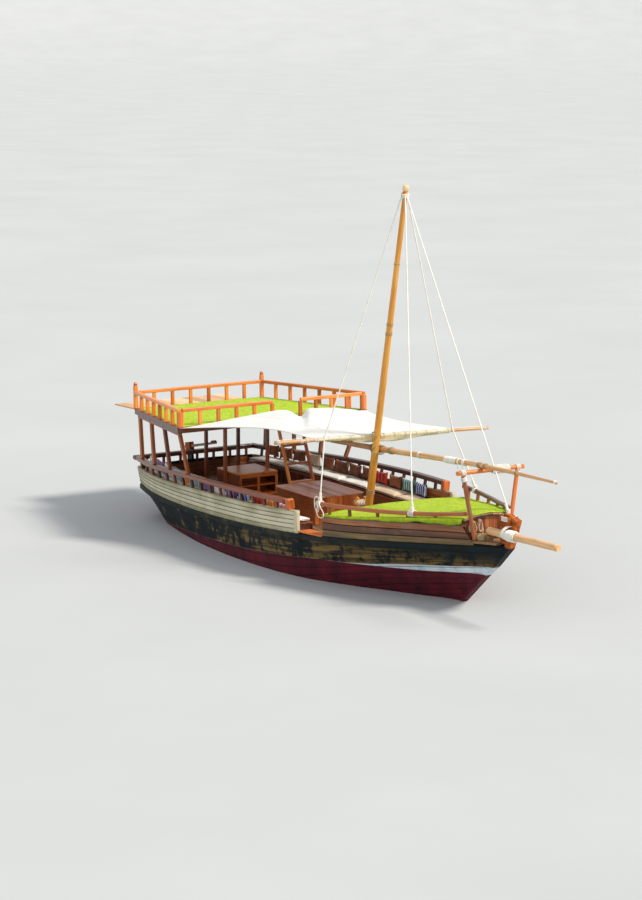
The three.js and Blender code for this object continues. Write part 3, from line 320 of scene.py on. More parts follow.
def awning_finish():
    s = Shader("awning_cloth")
    place = s.place()
    stain = s.noise(s.stretched(place, (0.8, 0.8, 0.8)), 1.0, 5, 0.6)
    crease = s.noise(s.stretched(place, (1.2, 7, 1)), 1.0, 4)
    thread = s.noise(place, 240, 2)
    colour = s.ramp(stain, (0.3, "cdccc8"), (0.5, "dadad7"), (0.7, "e5e5e3"))
    colour = s.mix(s.times(s.value("seam_and_shade"), 0.5), colour, linear("b8b0a0"))
    s.set(base_color=colour, roughness=0.8, sheen_weight=0.15, sheen_roughness=0.5)
    s.bump(s.plus(s.times(crease, 0.8), s.times(thread, 0.2)), 0.012, 0.5)
    return s.material


def rope_finish(name, shades):
    s = Shader(name)
    fibre = s.noise(s.stretched(s.vector("grain"), (40, 260, 1)), 1.0, 4)
    patch = s.noise(s.place(), 5, 3)
    colour = s.ramp(s.plus(s.times(fibre, 0.5), s.times(patch, 0.5)),
                    (0.3, shades[0]), (0.6, shades[1]))
    # Darker between the strands: painted shade in the rope's grooves
    colour = s.mix(s.times(s.value("seam_and_shade"), 0.55), colour, linear(shades[2]))
    s.set(base_color=colour, roughness=0.85, sheen_weight=0.2)
    s.bump(fibre, 0.002, 0.5)
    return s.material


def metal_finish(name, base, rust, rough=0.45, share=0.5):
    s = Shader(name)
    place = s.place()
    spots = s.noise(place, 14, 6, 0.65)
    grit = s.noise(place, 160, 3)
    colour = s.mix(s.times(s.step(spots, 0.48, 0.62), share), linear(base), linear(rust))
    s.set(base_color=colour, metallic=0.85,
          roughness=s.plus(s.times(spots, 0.4), rough - 0.2))
    s.bump(s.plus(spots, s.times(grit, 0.4)), 0.003, 0.5)
    return s.material


def floor_finish():
    s = Shader("floor")
    tint = s.noise(s.place(), 0.15, 3)
    s.set(base_color=s.ramp(tint, (0.3, "b4b7b9"), (0.7, "b9bcbe")), roughness=0.9,
          specular_ior_level=0.1)
    return s.material


VARNISH = ("42190a", "86401a", "b0642c")
OLD_DECK = {"shades": ("5c4128", "8c6a48", "ad8a66"), "rough": 0.65, "coat": 0.0, "weather": 0.5}
WOODS = {
    "varnished_wood": {"shades": VARNISH},
    "varnished_x": {"shades": VARNISH, "axis": "x"},
    "dark_wood": {"shades": ("2c110a", "5a2713", "824223"), "coat": 0.35},
    "orange_wood": {"shades": ("86350a", "c8621a", "e88d38"), "coat": 0.3, "weather": 0.12},
    "brown_planks": {"shades": ("4d2812", "8c5226", "b67c44"), "rough": 0.5},
    "olive_planks": {"shades": ("54401c", "8e7038", "b29256"), "rough": 0.5},
    "honey_wood": {"shades": ("9a5a14", "cf8a2a", "e8ae50"), "weather": 0.1},
    "pale_wood": {"shades": ("a8743f", "d2a06a", "ecc9a0"), "rough": 0.55, "coat": 0.1,
                  "weather": 0.15},
    # The lid's light pinkish shades are partly painted light: a painted sky sheen, and lightening against
    # the awning's shadow
    "lid_boards": {"shades": ("a4604c", "cf9280", "ecbcaa"), "rough": 0.45, "weather": 0.3},
    "deck_boards": OLD_DECK,
    "deck_x": {**OLD_DECK, "axis": "x"},
}
# Two shades of each cushion cloth, then the width of its stripes and their colours
CLOTHS = {
    "white": {"shades": ("dcdad4", "f6f5f1")},
    "sand": {"shades": ("c4a888", "e2cbb0")},
    "brown": {"shades": ("5c2e18", "9a5a34")},
    "pink": {"shades": ("b45a74", "e08aa4"), "width": 0.12, "bands": ("e79ab0", "c9607f", "f0c4d0")},
    "teal": {"shades": ("0d5c66", "2c8c96"), "width": 0.09, "bands": ("1b7480", "4fb0b4", "dfe9e6")},
    "red": {"shades": ("8c1410", "c82a1c"), "width": 0.14, "bands": ("b81f16", "e0482c", "701010")},
    "mauve": {"shades": ("6a3f78", "9c6cae"), "width": 0.10, "bands": ("8a5a9c", "c49ace", "5c3468")},
    "orange": {"shades": ("c05a10", "ee8a28"), "width": 0.11, "bands": ("e87820", "f6b050", "b84810")},
    "blue": {"shades": ("183c8c", "3a68c4"), "width": 0.08, "bands": ("2450ac", "e4ebf6", "16348a")},
}
# Two shades of each rope and the darker colour between its strands, painted as shade in the grooves
ROPES = {
    "rope": ("e2ded2", "fffdf8", "a89e8c"),
    "old_rope": ("8b7753", "b9a276", "4c3c26"),
    "tan_rope": ("b79e6e", "dfcda0", "5f4a2c"),
    "pink_rope": ("c08a70", "ecc8ac", "74402c"),
}
FINISHES = {
    "hull_paint": hull_paint("hull_paint"),
    "wale_paint": hull_paint("wale_paint", bare_share=0.22),
    "stem_paint": hull_paint("stem_paint", "x", wooden_head=True),
    "post_paint": hull_paint("post_paint", "z", wooden_head=True),
    "cream_paint": plank_paint("cream_paint", ("8f8c6c", "b3ae90", "cbc5aa"), "9a7446"),
    "white_paint": plank_paint("white_paint", ("c9c9c4", "e3e4e0", "f2f2ee"), "b09a78", wear=0.25),
    "turf": turf_finish(),
    "awning_cloth": awning_finish(),
    "hem_cloth": cloth_finish("hem_cloth", ("d8c8a6", "efe3c8"), weave=200),
    "iron": metal_finish("iron", "3a3b3e", "5d3320"),
    "bronze": metal_finish("bronze", "8a6a35", "3f5f4c", rough=0.4, share=0.35),
    **{name: wood(name, **facts) for name, facts in WOODS.items()},
    **{f"cloth_{name}": cloth_finish(f"cloth_{name}", **facts) for name, facts in CLOTHS.items()},
    **{name: rope_finish(name, shades) for name, shades in ROPES.items()},
}


# Mesh builder

def rounded(width, depth, radius):
    """The outline of a square bar with rounded corners, and how worn each point is."""
    radius = min(radius, 0.3 * min(width, depth))
    outline = []
    for k, (sign_a, sign_b) in enumerate([(1, 1), (-1, 1), (-1, -1), (1, -1)]):
        for step in range(3):
            angle = (k + step / 2) * math.pi / 2
            a = sign_a * (width / 2 - radius) + radius * math.cos(angle)
            b = sign_b * (depth / 2 - radius) + radius * math.sin(angle)
            outline.append((a, b))
    return np.array(outline), np.array([0.4, 1.0, 0.4] * 4)


def frames_along(points):
    """Two directions square to a line at each of its points, turning no more than the line does."""
    points = np.asarray(points, float)
    ways = np.gradient(points, axis=0)
    ways /= np.linalg.norm(ways, axis=1)[:, None]
    guide = np.array([0, 0, 1.0]) if abs(ways[0][2]) < 0.9 else np.array([1.0, 0, 0])
    side = np.cross(guide, ways[0])
    sides = []
    for way in ways:
        side = side - way * (side @ way)
        side /= np.linalg.norm(side)
        sides.append(side)
    sides = np.array(sides)
    return sides, np.cross(ways, sides)


def smooth_line(points, count=60):
    """A centripetal Catmull-Rom curve through the points, with count steps spread over its spans."""
    points = np.asarray(points, float)
    whole = np.vstack([2 * points[0] - points[1], points, 2 * points[-1] - points[-2]])
    spans = len(points) - 1
    line = []
    for at in np.linspace(0, spans, count + 1):
        i = min(int(at), spans - 1)
        t = at - i
        p = whole[i:i + 4]
        d0, d1, d2 = (max(math.sqrt(np.linalg.norm(p[k + 1] - p[k])), 1e-4) for k in range(3))
        m1 = ((p[1] - p[0]) / d0 - (p[2] - p[0]) / (d0 + d1) + (p[2] - p[1]) / d1) * d1
        m2 = ((p[2] - p[1]) / d1 - (p[3] - p[1]) / (d1 + d2) + (p[3] - p[2]) / d2) * d1
        line.append((2 * t**3 - 3 * t**2 + 1) * p[1] + (t**3 - 2 * t**2 + t) * m1
                    + (3 * t**2 - 2 * t**3) * p[2] + (t**3 - t**2) * m2)
    return np.array(line)


def line_through(rows):
    """The y and z of a smooth line through rows of (x, y, z), as a function of x."""
    line = smooth_line(rows, 80)
    return lambda x: (float(np.interp(x, line[:, 0], line[:, 1])),
                      float(np.interp(x, line[:, 0], line[:, 2])))


def courses(low, high, count):
    """The lower and upper edge of each of count equal boards between two edges."""
    edges = np.linspace(low, high, count + 1)
    return zip(edges[:-1], edges[1:])


def distance_along(points):
    """How far along a line each of its points lies."""
    steps = np.linalg.norm(np.diff(points, axis=0), axis=1)
    return np.concatenate([[0], np.cumsum(steps)])


def hoop(middle, cosine, sine, count, start=0.0, turn=TAU):
    """Points of an oval round a middle, from two of its half-widths as directions."""
    angle = np.linspace(start, start + turn, count)[:, None]
    return np.array(middle) + np.cos(angle) * cosine + np.sin(angle) * sine


def helix(start, end, radius, turns, per_turn=14):
    """Points of a winding round the line from start to end."""
    start, end = np.array(start, float), np.array(end, float)
    line = np.linspace(start, end, int(turns * per_turn) + 1)
    across, rise = frames_along(line)
    angle = np.linspace(0, turns * TAU, len(line))[:, None]
    return line + radius * (np.cos(angle) * across + np.sin(angle) * rise)


# Strands of a rope, its pitch in radii, and rings of the mesh to a turn
ROPE_LAY = {"strands": 3, "pitch": 7.5, "steps": 7}


class Parts:
    """Gathers faces into one mesh, with what the materials read at each point."""

    def __init__(self):
        self.count = 0
        self.points, self.faces, self.values = [], [], []
        self.slots, self.slot = [], 0

    def add(self, points, faces, grain, tone=None, wear=0.0, seam_and_shade=0.0):
        points = np.asarray(points, float).reshape(-1, 3)
        tone = chance.random() if tone is None else tone
        rows = np.zeros((len(points), 6))
        rows[:, :3] = np.asarray(grain, float).reshape(-1, 3)
        for column, value in ((3, tone), (4, wear), (5, seam_and_shade)):
            rows[:, column] = np.ravel(np.broadcast_to(value, np.shape(value) or (len(points),)))
        self.points.append(points)
        self.values.append(rows)
        self.faces.extend([tuple(i + self.count for i in face) for face in faces])
        self.slots.extend([self.slot] * len(faces))
        self.count += len(points)

    def grid(self, points, grain=None, tone=None, wear=0.0, seam_and_shade=0.0, closed=False, caps=False):
        """Faces between rows of points. closed joins each row's ends, and caps fills first and last."""
        points = np.asarray(points, float)
        rows, around = points.shape[:2]
        if grain is None:
            lot = chance.uniform(0, 60)
            grain = np.zeros((rows, around, 3))
            grain[..., 0] = distance_along(points.mean(1))[:, None] + lot
            grain[..., 1] = distance_along(points[rows // 2])[None, :]
            grain[..., 2] = lot
        starts = np.arange(around if closed else around - 1)
        ends = (starts + 1) % around
        faces = []
        for low in range(0, (rows - 1) * around, around):
            high = low + around
            faces.extend(np.stack([starts + low, ends + low, ends + high, starts + high], 1).tolist())
        if caps:
            faces.append(range(around)[::-1])
            faces.append(range((rows - 1) * around, rows * around))
        spread = [np.broadcast_to(v, (rows, around)) if np.ndim(v) else v for v in (wear, seam_and_shade)]
        self.add(points, faces, grain, tone, *spread)

    def planks(self, points, rows, tones, height, lot):
        """A planked grid with strake_rows' rows. lot gives each strake its own place in the grain."""
        grain = np.zeros(points.shape)
        grain[..., 0] = points[..., 0]
        grain[..., 1] = [share * height for share, *_ in rows]
        grain[..., 2] = [lot(k) for *_, k in rows]
        self.grid(points, grain, tone=np.tile([tones[k] for *_, k in rows], (len(points), 1)),
                  seam_and_shade=np.tile([dark for _, _, dark, _ in rows], (len(points), 1)))

    def bar(self, start, end, width, depth, up=(0, 0, 1), radius=0.008, taper=1.0):
        """A square timber from start to end: width lies across, depth towards up."""
        start, end = Vector(start), Vector(end)
        along = (end - start).normalized()
        up = Vector(up)
        if abs(along.dot(up.normalized())) > 0.95:
            up = Vector((1, 0, 0)) if abs(along.x) < 0.9 else Vector((0, 1, 0))
        side = up.cross(along).normalized()
        rise = along.cross(side)
        outline, wear = rounded(width, depth, radius)
        inner = 1 - 2 * radius / np.array([width, depth])
        long = (end - start).length
        rings = []
        for at, scale in ((0, inner), (radius, 1), (long - radius, taper), (long, inner * taper)):
            middle = np.array(start + along * at)
            shape = outline * scale
            rings.append(middle + shape[:, :1] * np.array(side) + shape[:, 1:] * np.array(rise))
        worn = np.stack([wear, wear, wear, wear])
        worn[[0, 3]] = 0.8
        self.grid(rings, closed=True, caps=True, wear=worn)

    def post(self, x, y, low, high, width, depth, radius=0.01, taper=1.0):
        """An upright timber, its width along y and its depth along x."""
        self.bar((x, y, low), (x, y, high), width, depth, up=(1, 0, 0), radius=radius, taper=taper)

    def block(self, low, high, radius=0.006):
        """A box between two corners, its grain along its longest side."""
        low, high = np.array(low, float), np.array(high, float)
        size = high - low
        axis = int(size.argmax())
        start, end = (low + high) / 2, (low + high) / 2
        start[axis], end[axis] = low[axis], high[axis]
        across, up = ((1, 2), (0, 2), (1, 0))[axis]
        self.bar(start, end, size[across], size[up], up=np.eye(3)[up], radius=radius)

    def sweep(self, line, outline, wear=0.0, sides=None, ups=None):
        """A closed outline of (side, up) carried along a line of points."""
        line = np.asarray(line, float)
        if sides is None:
            sides, ups = frames_along(line)
        outline = np.asarray(outline, float)
        rings = line[:, None, :] + outline[None, :, :1] * sides[:, None, :] \
            + outline[None, :, 1:] * ups[:, None, :]
        self.grid(rings, closed=True, caps=True, wear=wear)

    def spar(self, line, radii, sides=20, rough=0.0, tone=None, seed=0):
        """A round pole along a line, with a radius at each point, rough by a share of it."""
        line = np.asarray(line, float)
        across, rise = frames_along(line)
        angles = np.arange(sides) * TAU / sides
        drift = np.random.default_rng(seed)
        waves = drift.uniform(-1, 1, (4, 3))
        t = np.arange(len(line))[:, None]
        uneven = sum(w[0] * np.sin(angles[None, :] * (k + 1) + w[1] * 3 + t * (0.25 + 0.3 * w[2]))
                     for k, w in enumerate(waves)) / 3
        sizes = np.asarray(radii, float)[:, None] * (1 + rough * uneven - rough)
        ring = np.cos(angles)[None, :, None] * across[:, None, :] + \
            np.sin(angles)[None, :, None] * rise[:, None, :]
        self.grid(line[:, None, :] + ring * sizes[..., None], closed=True, caps=True, tone=tone)

    def rope(self, line, radius):
        """A laid rope along a line: its strands show as a twist in the surface."""
        line = np.asarray(line, float)
        along = distance_along(line)
        pitch = ROPE_LAY["pitch"] * radius
        count = max(4, int(along[-1] / pitch * ROPE_LAY["steps"]))
        at = np.linspace(0, along[-1], count + 1)
        points = np.stack([np.interp(at, along, line[:, k]) for k in range(3)], axis=1)
        across, rise = frames_along(points)
        shape = np.array([0.74, 0.95, 1.0, 0.95] * ROPE_LAY["strands"])
        # 1 in the grooves between strands, which the finish paints darker as shade
        groove = np.array([1.0, 0.15, 0.0, 0.15] * ROPE_LAY["strands"])
        angles = np.arange(len(shape)) * TAU / len(shape)
        turned = angles[None, :] + (at / pitch * TAU)[:, None]
        ring = np.cos(turned)[..., None] * across[:, None, :] + \
            np.sin(turned)[..., None] * rise[:, None, :]
        rings = points[:, None, :] + ring * (shape * radius)[None, :, None]
        self.grid(rings, closed=True, caps=True, seam_and_shade=np.broadcast_to(groove, (len(points), len(shape))))

    def finish(self, name, finishes, body="boat", replaces=(), slot=None, thickness=0.0,
               weighted=True, outward=True, place=None):
        """Makes the object, rides it on its body and returns it. place moves it from its own frame."""
        finishes = [finishes] if isinstance(finishes, str) else finishes
        mesh = bpy.data.meshes.new(name)
        points = np.concatenate(self.points)
        if place is not None:
            turn = np.array(place)
            points = points @ turn[:3, :3].T + turn[:3, 3]
        mesh.from_pydata(points.tolist(), [], self.faces)
        values = np.concatenate(self.values)
        made = mesh.attributes.new("grain", "FLOAT_VECTOR", "POINT")
        made.data.foreach_set("vector", values[:, :3].astype(np.float32).ravel())
        for column, key in ((3, "tone"), (4, "wear"), (5, "seam_and_shade")):
            made = mesh.attributes.new(key, "FLOAT", "POINT")
            made.data.foreach_set("value", values[:, column].astype(np.float32))
        for key in finishes:
            mesh.materials.append(FINISHES[key])
        mesh.polygons.foreach_set("material_index", self.slots)
        if outward:
            shape = bmesh.new()
            shape.from_mesh(mesh)
            bmesh.ops.recalc_face_normals(shape, faces=shape.faces)
            shape.to_mesh(mesh)
            shape.free()
        mesh.polygons.foreach_set("use_smooth", [True] * len(mesh.polygons))
        piece = bpy.data.objects.new(name, mesh)
        bpy.context.scene.collection.objects.link(piece)
        if thickness:
            shell = piece.modifiers.new("thickness", "SOLIDIFY")
            shell.thickness = thickness
            shell.offset = -1
        if weighted:
            piece.modifiers.new("normals", "WEIGHTED_NORMAL").weight = 90
        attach(piece, body)
        if replaces:
            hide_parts(*replaces)
        return piece


# Hull lines, from stern to stem. Each row gives a section by four lines: the keel seam (x, z),
# the waterline (x, half-breadth), the wale (x, half-breadth, z) and the bulwark top
# (x, half-breadth, z). The last column is how full the bilge is between seam and waterline.
STATIONS = np.array([
    (-4.872, -.80, -5.040, 1.020, -5.2017, 1.54, .770, -5.2815, 1.58, 1.150, 0.85),
    (-4.000, -.86, -4.100, 1.440, -4.200, 1.79, .760, -4.230, 1.82, 1.160, 1.15),
    (-2.900, -.90, -2.950, 1.690, -3.000, 1.95, .765, -3.010, 1.975, 1.190, 1.45),
    (-1.500, -.92, -1.500, 1.900, -1.500, 2.06, .795, -1.500, 2.08, 1.265, 1.75),
    (0, -.92, 0, 1.965, 0, 2.095, .855, 0, 2.11, 1.325, 1.9),
    (1.300, -.90, 1.400, 1.890, 1.500, 2.05, .930, 1.510, 2.07, 1.395, 1.85),
    (2.350, -.87, 2.550, 1.670, 2.750, 1.93, 1.015, 2.770, 1.955, 1.485, 1.65),
    (3.250, -.83, 3.600, 1.240, 3.950, 1.64, 1.105, 3.990, 1.67, 1.530, 1.4),
    (3.950, -.78, 4.450, .790, 4.950, 1.31, 1.190, 5.010, 1.34, 1.610, 1.2),
    (4.500, -.72, 5.120, .440, 5.850, .95, 1.270, 5.930, .98, 1.680, 1.1),
    (4.800, -.64, 5.540, .200, 6.650, .56, 1.335, 6.760, .59, 1.725, 1.0),
    (5.050, -.50, 5.870, .075, 7.420, .08, 1.395, 7.560, .08, 1.640, 1.0),
])
LAST_STATION = len(STATIONS) - 1
KEEL_HALF = 0.07
SIDE_THICKNESS = 0.065
DECK_TOP = 0.78


def station_at(u):
    i = min(int(u), LAST_STATION - 1)
    t = u - i
    a, b, c, d = (STATIONS[min(max(k, 0), LAST_STATION)] for k in (i - 1, i, i + 1, i + 2))
    before = c - b if i == 0 else (c - a) / 2
    after = c - b if i == LAST_STATION - 1 else (d - b) / 2
    return ((2 * t**3 - 3 * t**2 + 1) * b + (t**3 - 2 * t**2 + t) * before
            + (3 * t**2 - 2 * t**3) * c + (t**3 - t**2) * after)


def under_wale(row):
    """The port half of a section from the keel seam to the wale, as points close together."""
    seam_x, seam_z, water_x, water_y, wale_x, wale_y, wale_z = row[:7]
    points = []
    for angle in np.linspace(0, math.pi / 2, 25):
        out = math.sin(angle) ** (2 / row[10])
        down = max(math.cos(angle), 0) ** (2 / row[10])
        points.append((water_x + (seam_x - water_x) * down,
                       KEEL_HALF + (water_y - KEEL_HALF) * out, seam_z * down))
    for t in np.linspace(0, 1, 9)[1:]:
        bulge = 0.14 * t * (1 - t) * (wale_y - water_y)
        points.append((water_x + (wale_x - water_x) * t,
                       water_y + (wale_y - water_y) * t + bulge, wale_z * t))
    return np.array(points)


def whole_side(row):
    """The port half of a section from the keel seam to the bulwark's top."""
    return np.vstack([under_wale(row), [row[7:10]]])


def point_on(section, share, out=0.0):
    """The point at a share of a section's length, moved outwards from its line."""
    along = distance_along(section)
    at = share * along[-1]
    place = np.array([np.interp(at, along, section[:, k]) for k in range(3)])
    ends = [np.array([np.interp(np.clip(at + d, 0, along[-1]), along, section[:, k])
                      for k in range(3)]) for d in (-0.02, 0.02)]
    way = ends[1] - ends[0]
    way /= np.hypot(way[1], way[2])
    return place + out * np.array([0, way[2], -way[1]])


def lines_at(x, column):
    """The hull's row where the wale's x (column 4) or the bulwark top's x (7) has this value."""
    low, high = 0.0, float(LAST_STATION)
    for _ in range(26):
        middle = (low + high) / 2
        low, high = (middle, high) if station_at(middle)[column] < x else (low, middle)
    return station_at(low)


def bulwark_top(x):
    row = lines_at(x, 7)
    return row[8], row[9]


def wale_line(x):
    row = lines_at(x, 4)
    return row[5], row[6]


def strake_rows(count, seam_share, depth):
    """Rows up a planked side: share of the height, how far in, how dark and which strake."""
    rows = []
    for k in range(count):
        rows.append((k / count, -depth if k else 0.0, 1.0 if k else 0.0, k))
        rows.append(((k + seam_share) / count, 0.0, 0.0, k))
        rows.append(((k + 0.5) / count, 0.0, 0.0, k))
        rows.append(((k + 1 - seam_share) / count, 0.0, 0.0, k))
    rows.append((1.0, 0.0, 0.0, count - 1))
    return rows


def plank_tones(count):
    return [chance.random() for _ in range(count)]


HULL_STRAKES = 15
SIDE_COLUMNS = 70


def add_hull_skin():
    skin = Parts()
    us = np.linspace(0, LAST_STATION, 100)
    rows = strake_rows(HULL_STRAKES, 0.09, 0.006)
    tones = plank_tones(HULL_STRAKES)
    sections = [under_wale(station_at(u)) for u in us]
    for _, side in SIDES:
        points = np.array([[point_on(section, share, out) for share, out, _, _ in rows]
                           for section in sections])
        points[..., 1] *= side
        # The planks' ends run on inside the stem
        tucked = points[-1] * (1, 0, 1) + (0.12, 0.06 * side, 0)
        points = np.concatenate([points, tucked[None]])
        skin.planks(points, rows, tones, 2.6, lambda strake: 7.0 * strake + 3 * side)
    skin.finish("hull_planking", "hull_paint", replaces=["hull"], thickness=0.03)


def side_between(section_of, rows, side, u_from, end_of, start_of=None):
    """A planked grid from a station, or from the x of start_of, to that of end_of at each height."""
    def place(u, row):
        return point_on(section_of(station_at(u)), row[0], row[1])

    def find(x_of, row):
        low, high = 0.0, float(LAST_STATION)
        for _ in range(24):
            middle = (low + high) / 2
            spot = place(middle, row)
            low, high = (middle, high) if spot[0] < x_of(spot[2]) else (low, middle)
        return low

    lines = []
    for row in rows:
        first = find(start_of, row) if start_of else u_from
        lines.append([place(u, row) for u in np.linspace(first, find(end_of, row), SIDE_COLUMNS)])
    points = np.array(lines).transpose(1, 0, 2)
    points[..., 1] *= side
    return points


def above_wale(row):
    return np.array([(row[4], row[5], row[6]), (row[7], row[8], row[9])])


GATE_X = (2.65, 3.42)
BEAK_CUT = ((6.73, 1.73), (6.87, 1.40))


def beak_cut_x(z):
    (x_top, z_top), (x_low, z_low) = BEAK_CUT
    return x_low + (x_top - x_low) * (min(z, z_top) - z_low) / (z_top - z_low)


def add_bulwarks():
    for hand, side in SIDES:
        for part, start, end, finish in (
                ("aft", None, lambda z: GATE_X[0], ["cream_paint"] * 5),
                ("fore", lambda z: GATE_X[1] + 0.001, beak_cut_x,
                 ["olive_planks", "brown_planks", "brown_planks"])):
            count = len(finish)
            rows = strake_rows(count, 0.13, 0.012)
            tones = plank_tones(count)
            names = sorted(set(finish))
            skin = Parts()
            points = side_between(above_wale, rows, side, 0.0, end, start)
            for k in range(count):
                skin.slot = names.index(finish[k])
                cut = slice(4 * k, 4 * k + 5)
                skin.planks(points[:, cut], rows[cut], tones, 0.5,
                            lambda strake: 11.0 * strake + 5 * side)
            skin.finish(f"bulwark_{part}_planks_{hand}", names, thickness=0.03,
                        replaces=[f"bulwark_{part}_{hand}"])


# Timbers along the sides

COVER = {"out": 0.012, "width": 0.092, "thickness": 0.035}


def side_line(side, x_from, x_to, line, count):
    """Points along a side line, with fixed across and up directions for a sweep."""
    xs = np.linspace(x_from, x_to, count)
    points = np.array([(x, side * line(x)[0], line(x)[1]) for x in xs])
    across = np.tile((0.0, side, 0.0), (count, 1))
    rise = np.tile((0.0, 0.0, 1.0), (count, 1))
    return points, across, rise


def side_bar(parts, side, x_from, x_to, line, width, depth, out, up, radius, count):
    """A rounded timber along a side, its middle moved outwards and up from the line."""
    points, across, rise = side_line(side, x_from, x_to, line, count)
    outline, wear = rounded(width, depth, radius)
    outline = outline + (out, up)
    parts.sweep(points, outline, wear=wear, sides=across, ups=rise)


def add_wales():
    for hand, side in SIDES:
        wale = Parts()
        points, across, rise = side_line(side, -5.15, 7.40, wale_line, 90)
        outline, wear = rounded(0.066, 0.115, 0.02)
        taper = np.clip((7.44 - points[:, 0]) / 0.45, 0.08, 1)[:, None, None]
        shape = (outline + (0.003, 0))[None] * np.concatenate([taper, 0.4 + 0.6 * taper], 2)
        rings = points[:, None] + shape[..., :1] * across[:, None] + \
            (shape[..., 1:] - 0.0575) * rise[:, None]
        wale.grid(rings, closed=True, caps=True, wear=wear)
        wale.finish(f"wale_timber_{hand}", "wale_paint", replaces=[f"wale_{hand}"])


def inside_line(row):
    """The inner side of a section from just under the deck to the bulwark's top."""
    section = whole_side(row)
    start = np.array([np.interp(DECK_TOP - 0.05, section[:, 2], section[:, k]) for k in range(3)])
    above = section[section[:, 2] > DECK_TOP - 0.03]
    return np.vstack([start, above])


def add_linings():
    for hand, side in SIDES:
        lining = Parts()
        rows = [(share, out - SIDE_THICKNESS, dark, k)
                for share, out, dark, k in strake_rows(5, 0.06, -0.006)]
        tones = plank_tones(5)
        # The two lowest strakes run on past the gate
        for cut, end in ((rows[:9], 3.46), (rows[8:], GATE_X[0])):
            points = side_between(inside_line, cut, side, 0.12, lambda z: end)
            lining.planks(points, cut, tones, 0.6, lambda strake: 9.0 * strake + side)
        cover = Parts()
        for x_from, x_to in ((-5.22, GATE_X[0]), (GATE_X[1], 6.72)):
            side_bar(cover, side, x_from, x_to, bulwark_top, COVER["width"], COVER["thickness"],
                     COVER["out"] - COVER["width"] / 2, 0.0, 0.01, 40)
            cover.slot = 1
        cover.finish(f"covering_board_{hand}", ["cream_paint", "brown_planks"])
        piece = lining.finish(f"lining_{hand}", "varnished_wood", outward=False)
        piece.modifiers.new("thickness", "SOLIDIFY").thickness = 0.012


# Transom: planks across the stern, square to the boat's side view

TRANSOM = {"low": -0.8, "high": 1.15, "planks": 12, "columns": 31}


def stern_x(z):
    return -5.04 - 0.21 * z


def stern_half(z):
    """The stern's half-breadth at a height."""
    row = STATIONS[0]
    section = whole_side(row)
    return float(np.interp(z, section[:, 2], section[:, 1]))


def across_stern(z, behind, inset):
    """A line across the stern at a height, this far behind its face and in from its edges."""
    half = stern_half(z) - inset
    return np.array([(stern_x(z) + behind, y, z) for y in np.linspace(-half, half, 12)])


def add_transom():
    transom = Parts()
    rows = strake_rows(TRANSOM["planks"], 0.08, -0.006)
    tones = plank_tones(TRANSOM["planks"])
    shares = np.linspace(-1, 1, TRANSOM["columns"])
    points, grain = [], []
    for share, out, _, k in rows:
        z = TRANSOM["low"] + (TRANSOM["high"] - TRANSOM["low"]) * share
        half = stern_half(z)
        crown = 0.05 * (1 - shares**2) * (share > 0.99)
        points.append([(stern_x(z) - out - 0.004, half * s, z + rise) for s, rise in zip(shares, crown)])
        grain.append([(half * s, share * 2, 5.0 * k) for s in shares])
    transom.grid(points, grain, tone=[[tones[k]] * len(shares) for *_, k in rows],
                 seam_and_shade=[[dark] * len(shares) for _, _, dark, _ in rows])
    transom.finish("transom_planks", "post_paint", thickness=0.03, replaces=["stern_board"])
    mouldings = Parts()
    for side in (-1, 1):
        line = np.array([(stern_x(z) - 0.02, side * (stern_half(z) - 0.05), z)
                         for z in np.linspace(0.1, TRANSOM["high"], 14)])
        outline, wear = rounded(0.10, 0.045, 0.012)
        mouldings.sweep(line, outline, wear=wear)
    mouldings.slot = 1
    for z, depth in ((0.74, 0.10), (1.12, 0.09)):
        outline, wear = rounded(0.045, depth, 0.012)
        mouldings.sweep(across_stern(z, -0.02, 0.03), outline, wear=wear)
    mouldings.finish("transom_mouldings", ["cream_paint", "orange_wood"])
    inner = Parts()
    for low, high in courses(0.76, 1.135, 3):
        line = across_stern((low + high - 0.003) / 2, 0.052, 0.06)
        inner.bar(line[0], line[-1], 0.02, high - low - 0.003, radius=0.005)
    inner.finish("transom_lining", "varnished_wood")


# Rails along the sides

CAP_LINE = line_through([
    (-5.25, 1.57, 1.42), (-4.0, 1.85, 1.45), (-3.0, 1.98, 1.51), (-2.0, 2.06, 1.56),
    (-1.0, 2.10, 1.60), (0, 2.12, 1.63), (1.0, 2.10, 1.66), (2.5, 1.97, 1.695),
])
FORE_LINE = line_through([
    (3.25, 1.83, 1.78), (4.0, 1.65, 1.805), (5.0, 1.325, 1.85), (6.0, 0.91, 1.93),
    (6.82, 0.53, 2.03),
])
CAP = {"width": 0.17, "thickness": 0.10, "x": (-5.2, 2.45)}
STERN_CAP_X = (-5.37, -5.2)
FORE_RAIL = {"width": 0.09, "thickness": 0.08, "x": (3.3, 6.79)}
# The first baluster's place is taken by the thick post at the cap's fore end
BALUSTER = {"width": 0.06, "spacing": 0.46, "first": 2.405}
STANCHIONS = (3.6, 4.15, 4.85, 5.55, 6.15)


def upright(parts, side, x, line, foot_in, under, width, depth, radius=0.01):
    """A post from the covering board up to a rail's line, its top this far under the line."""
    foot, top = bulwark_top(x), line(x)
    parts.bar((x, side * (foot[0] - foot_in), foot[1] + 0.012), (x, side * top[0], top[1] - under),
              width, depth, up=(1, 0, 0), radius=radius)


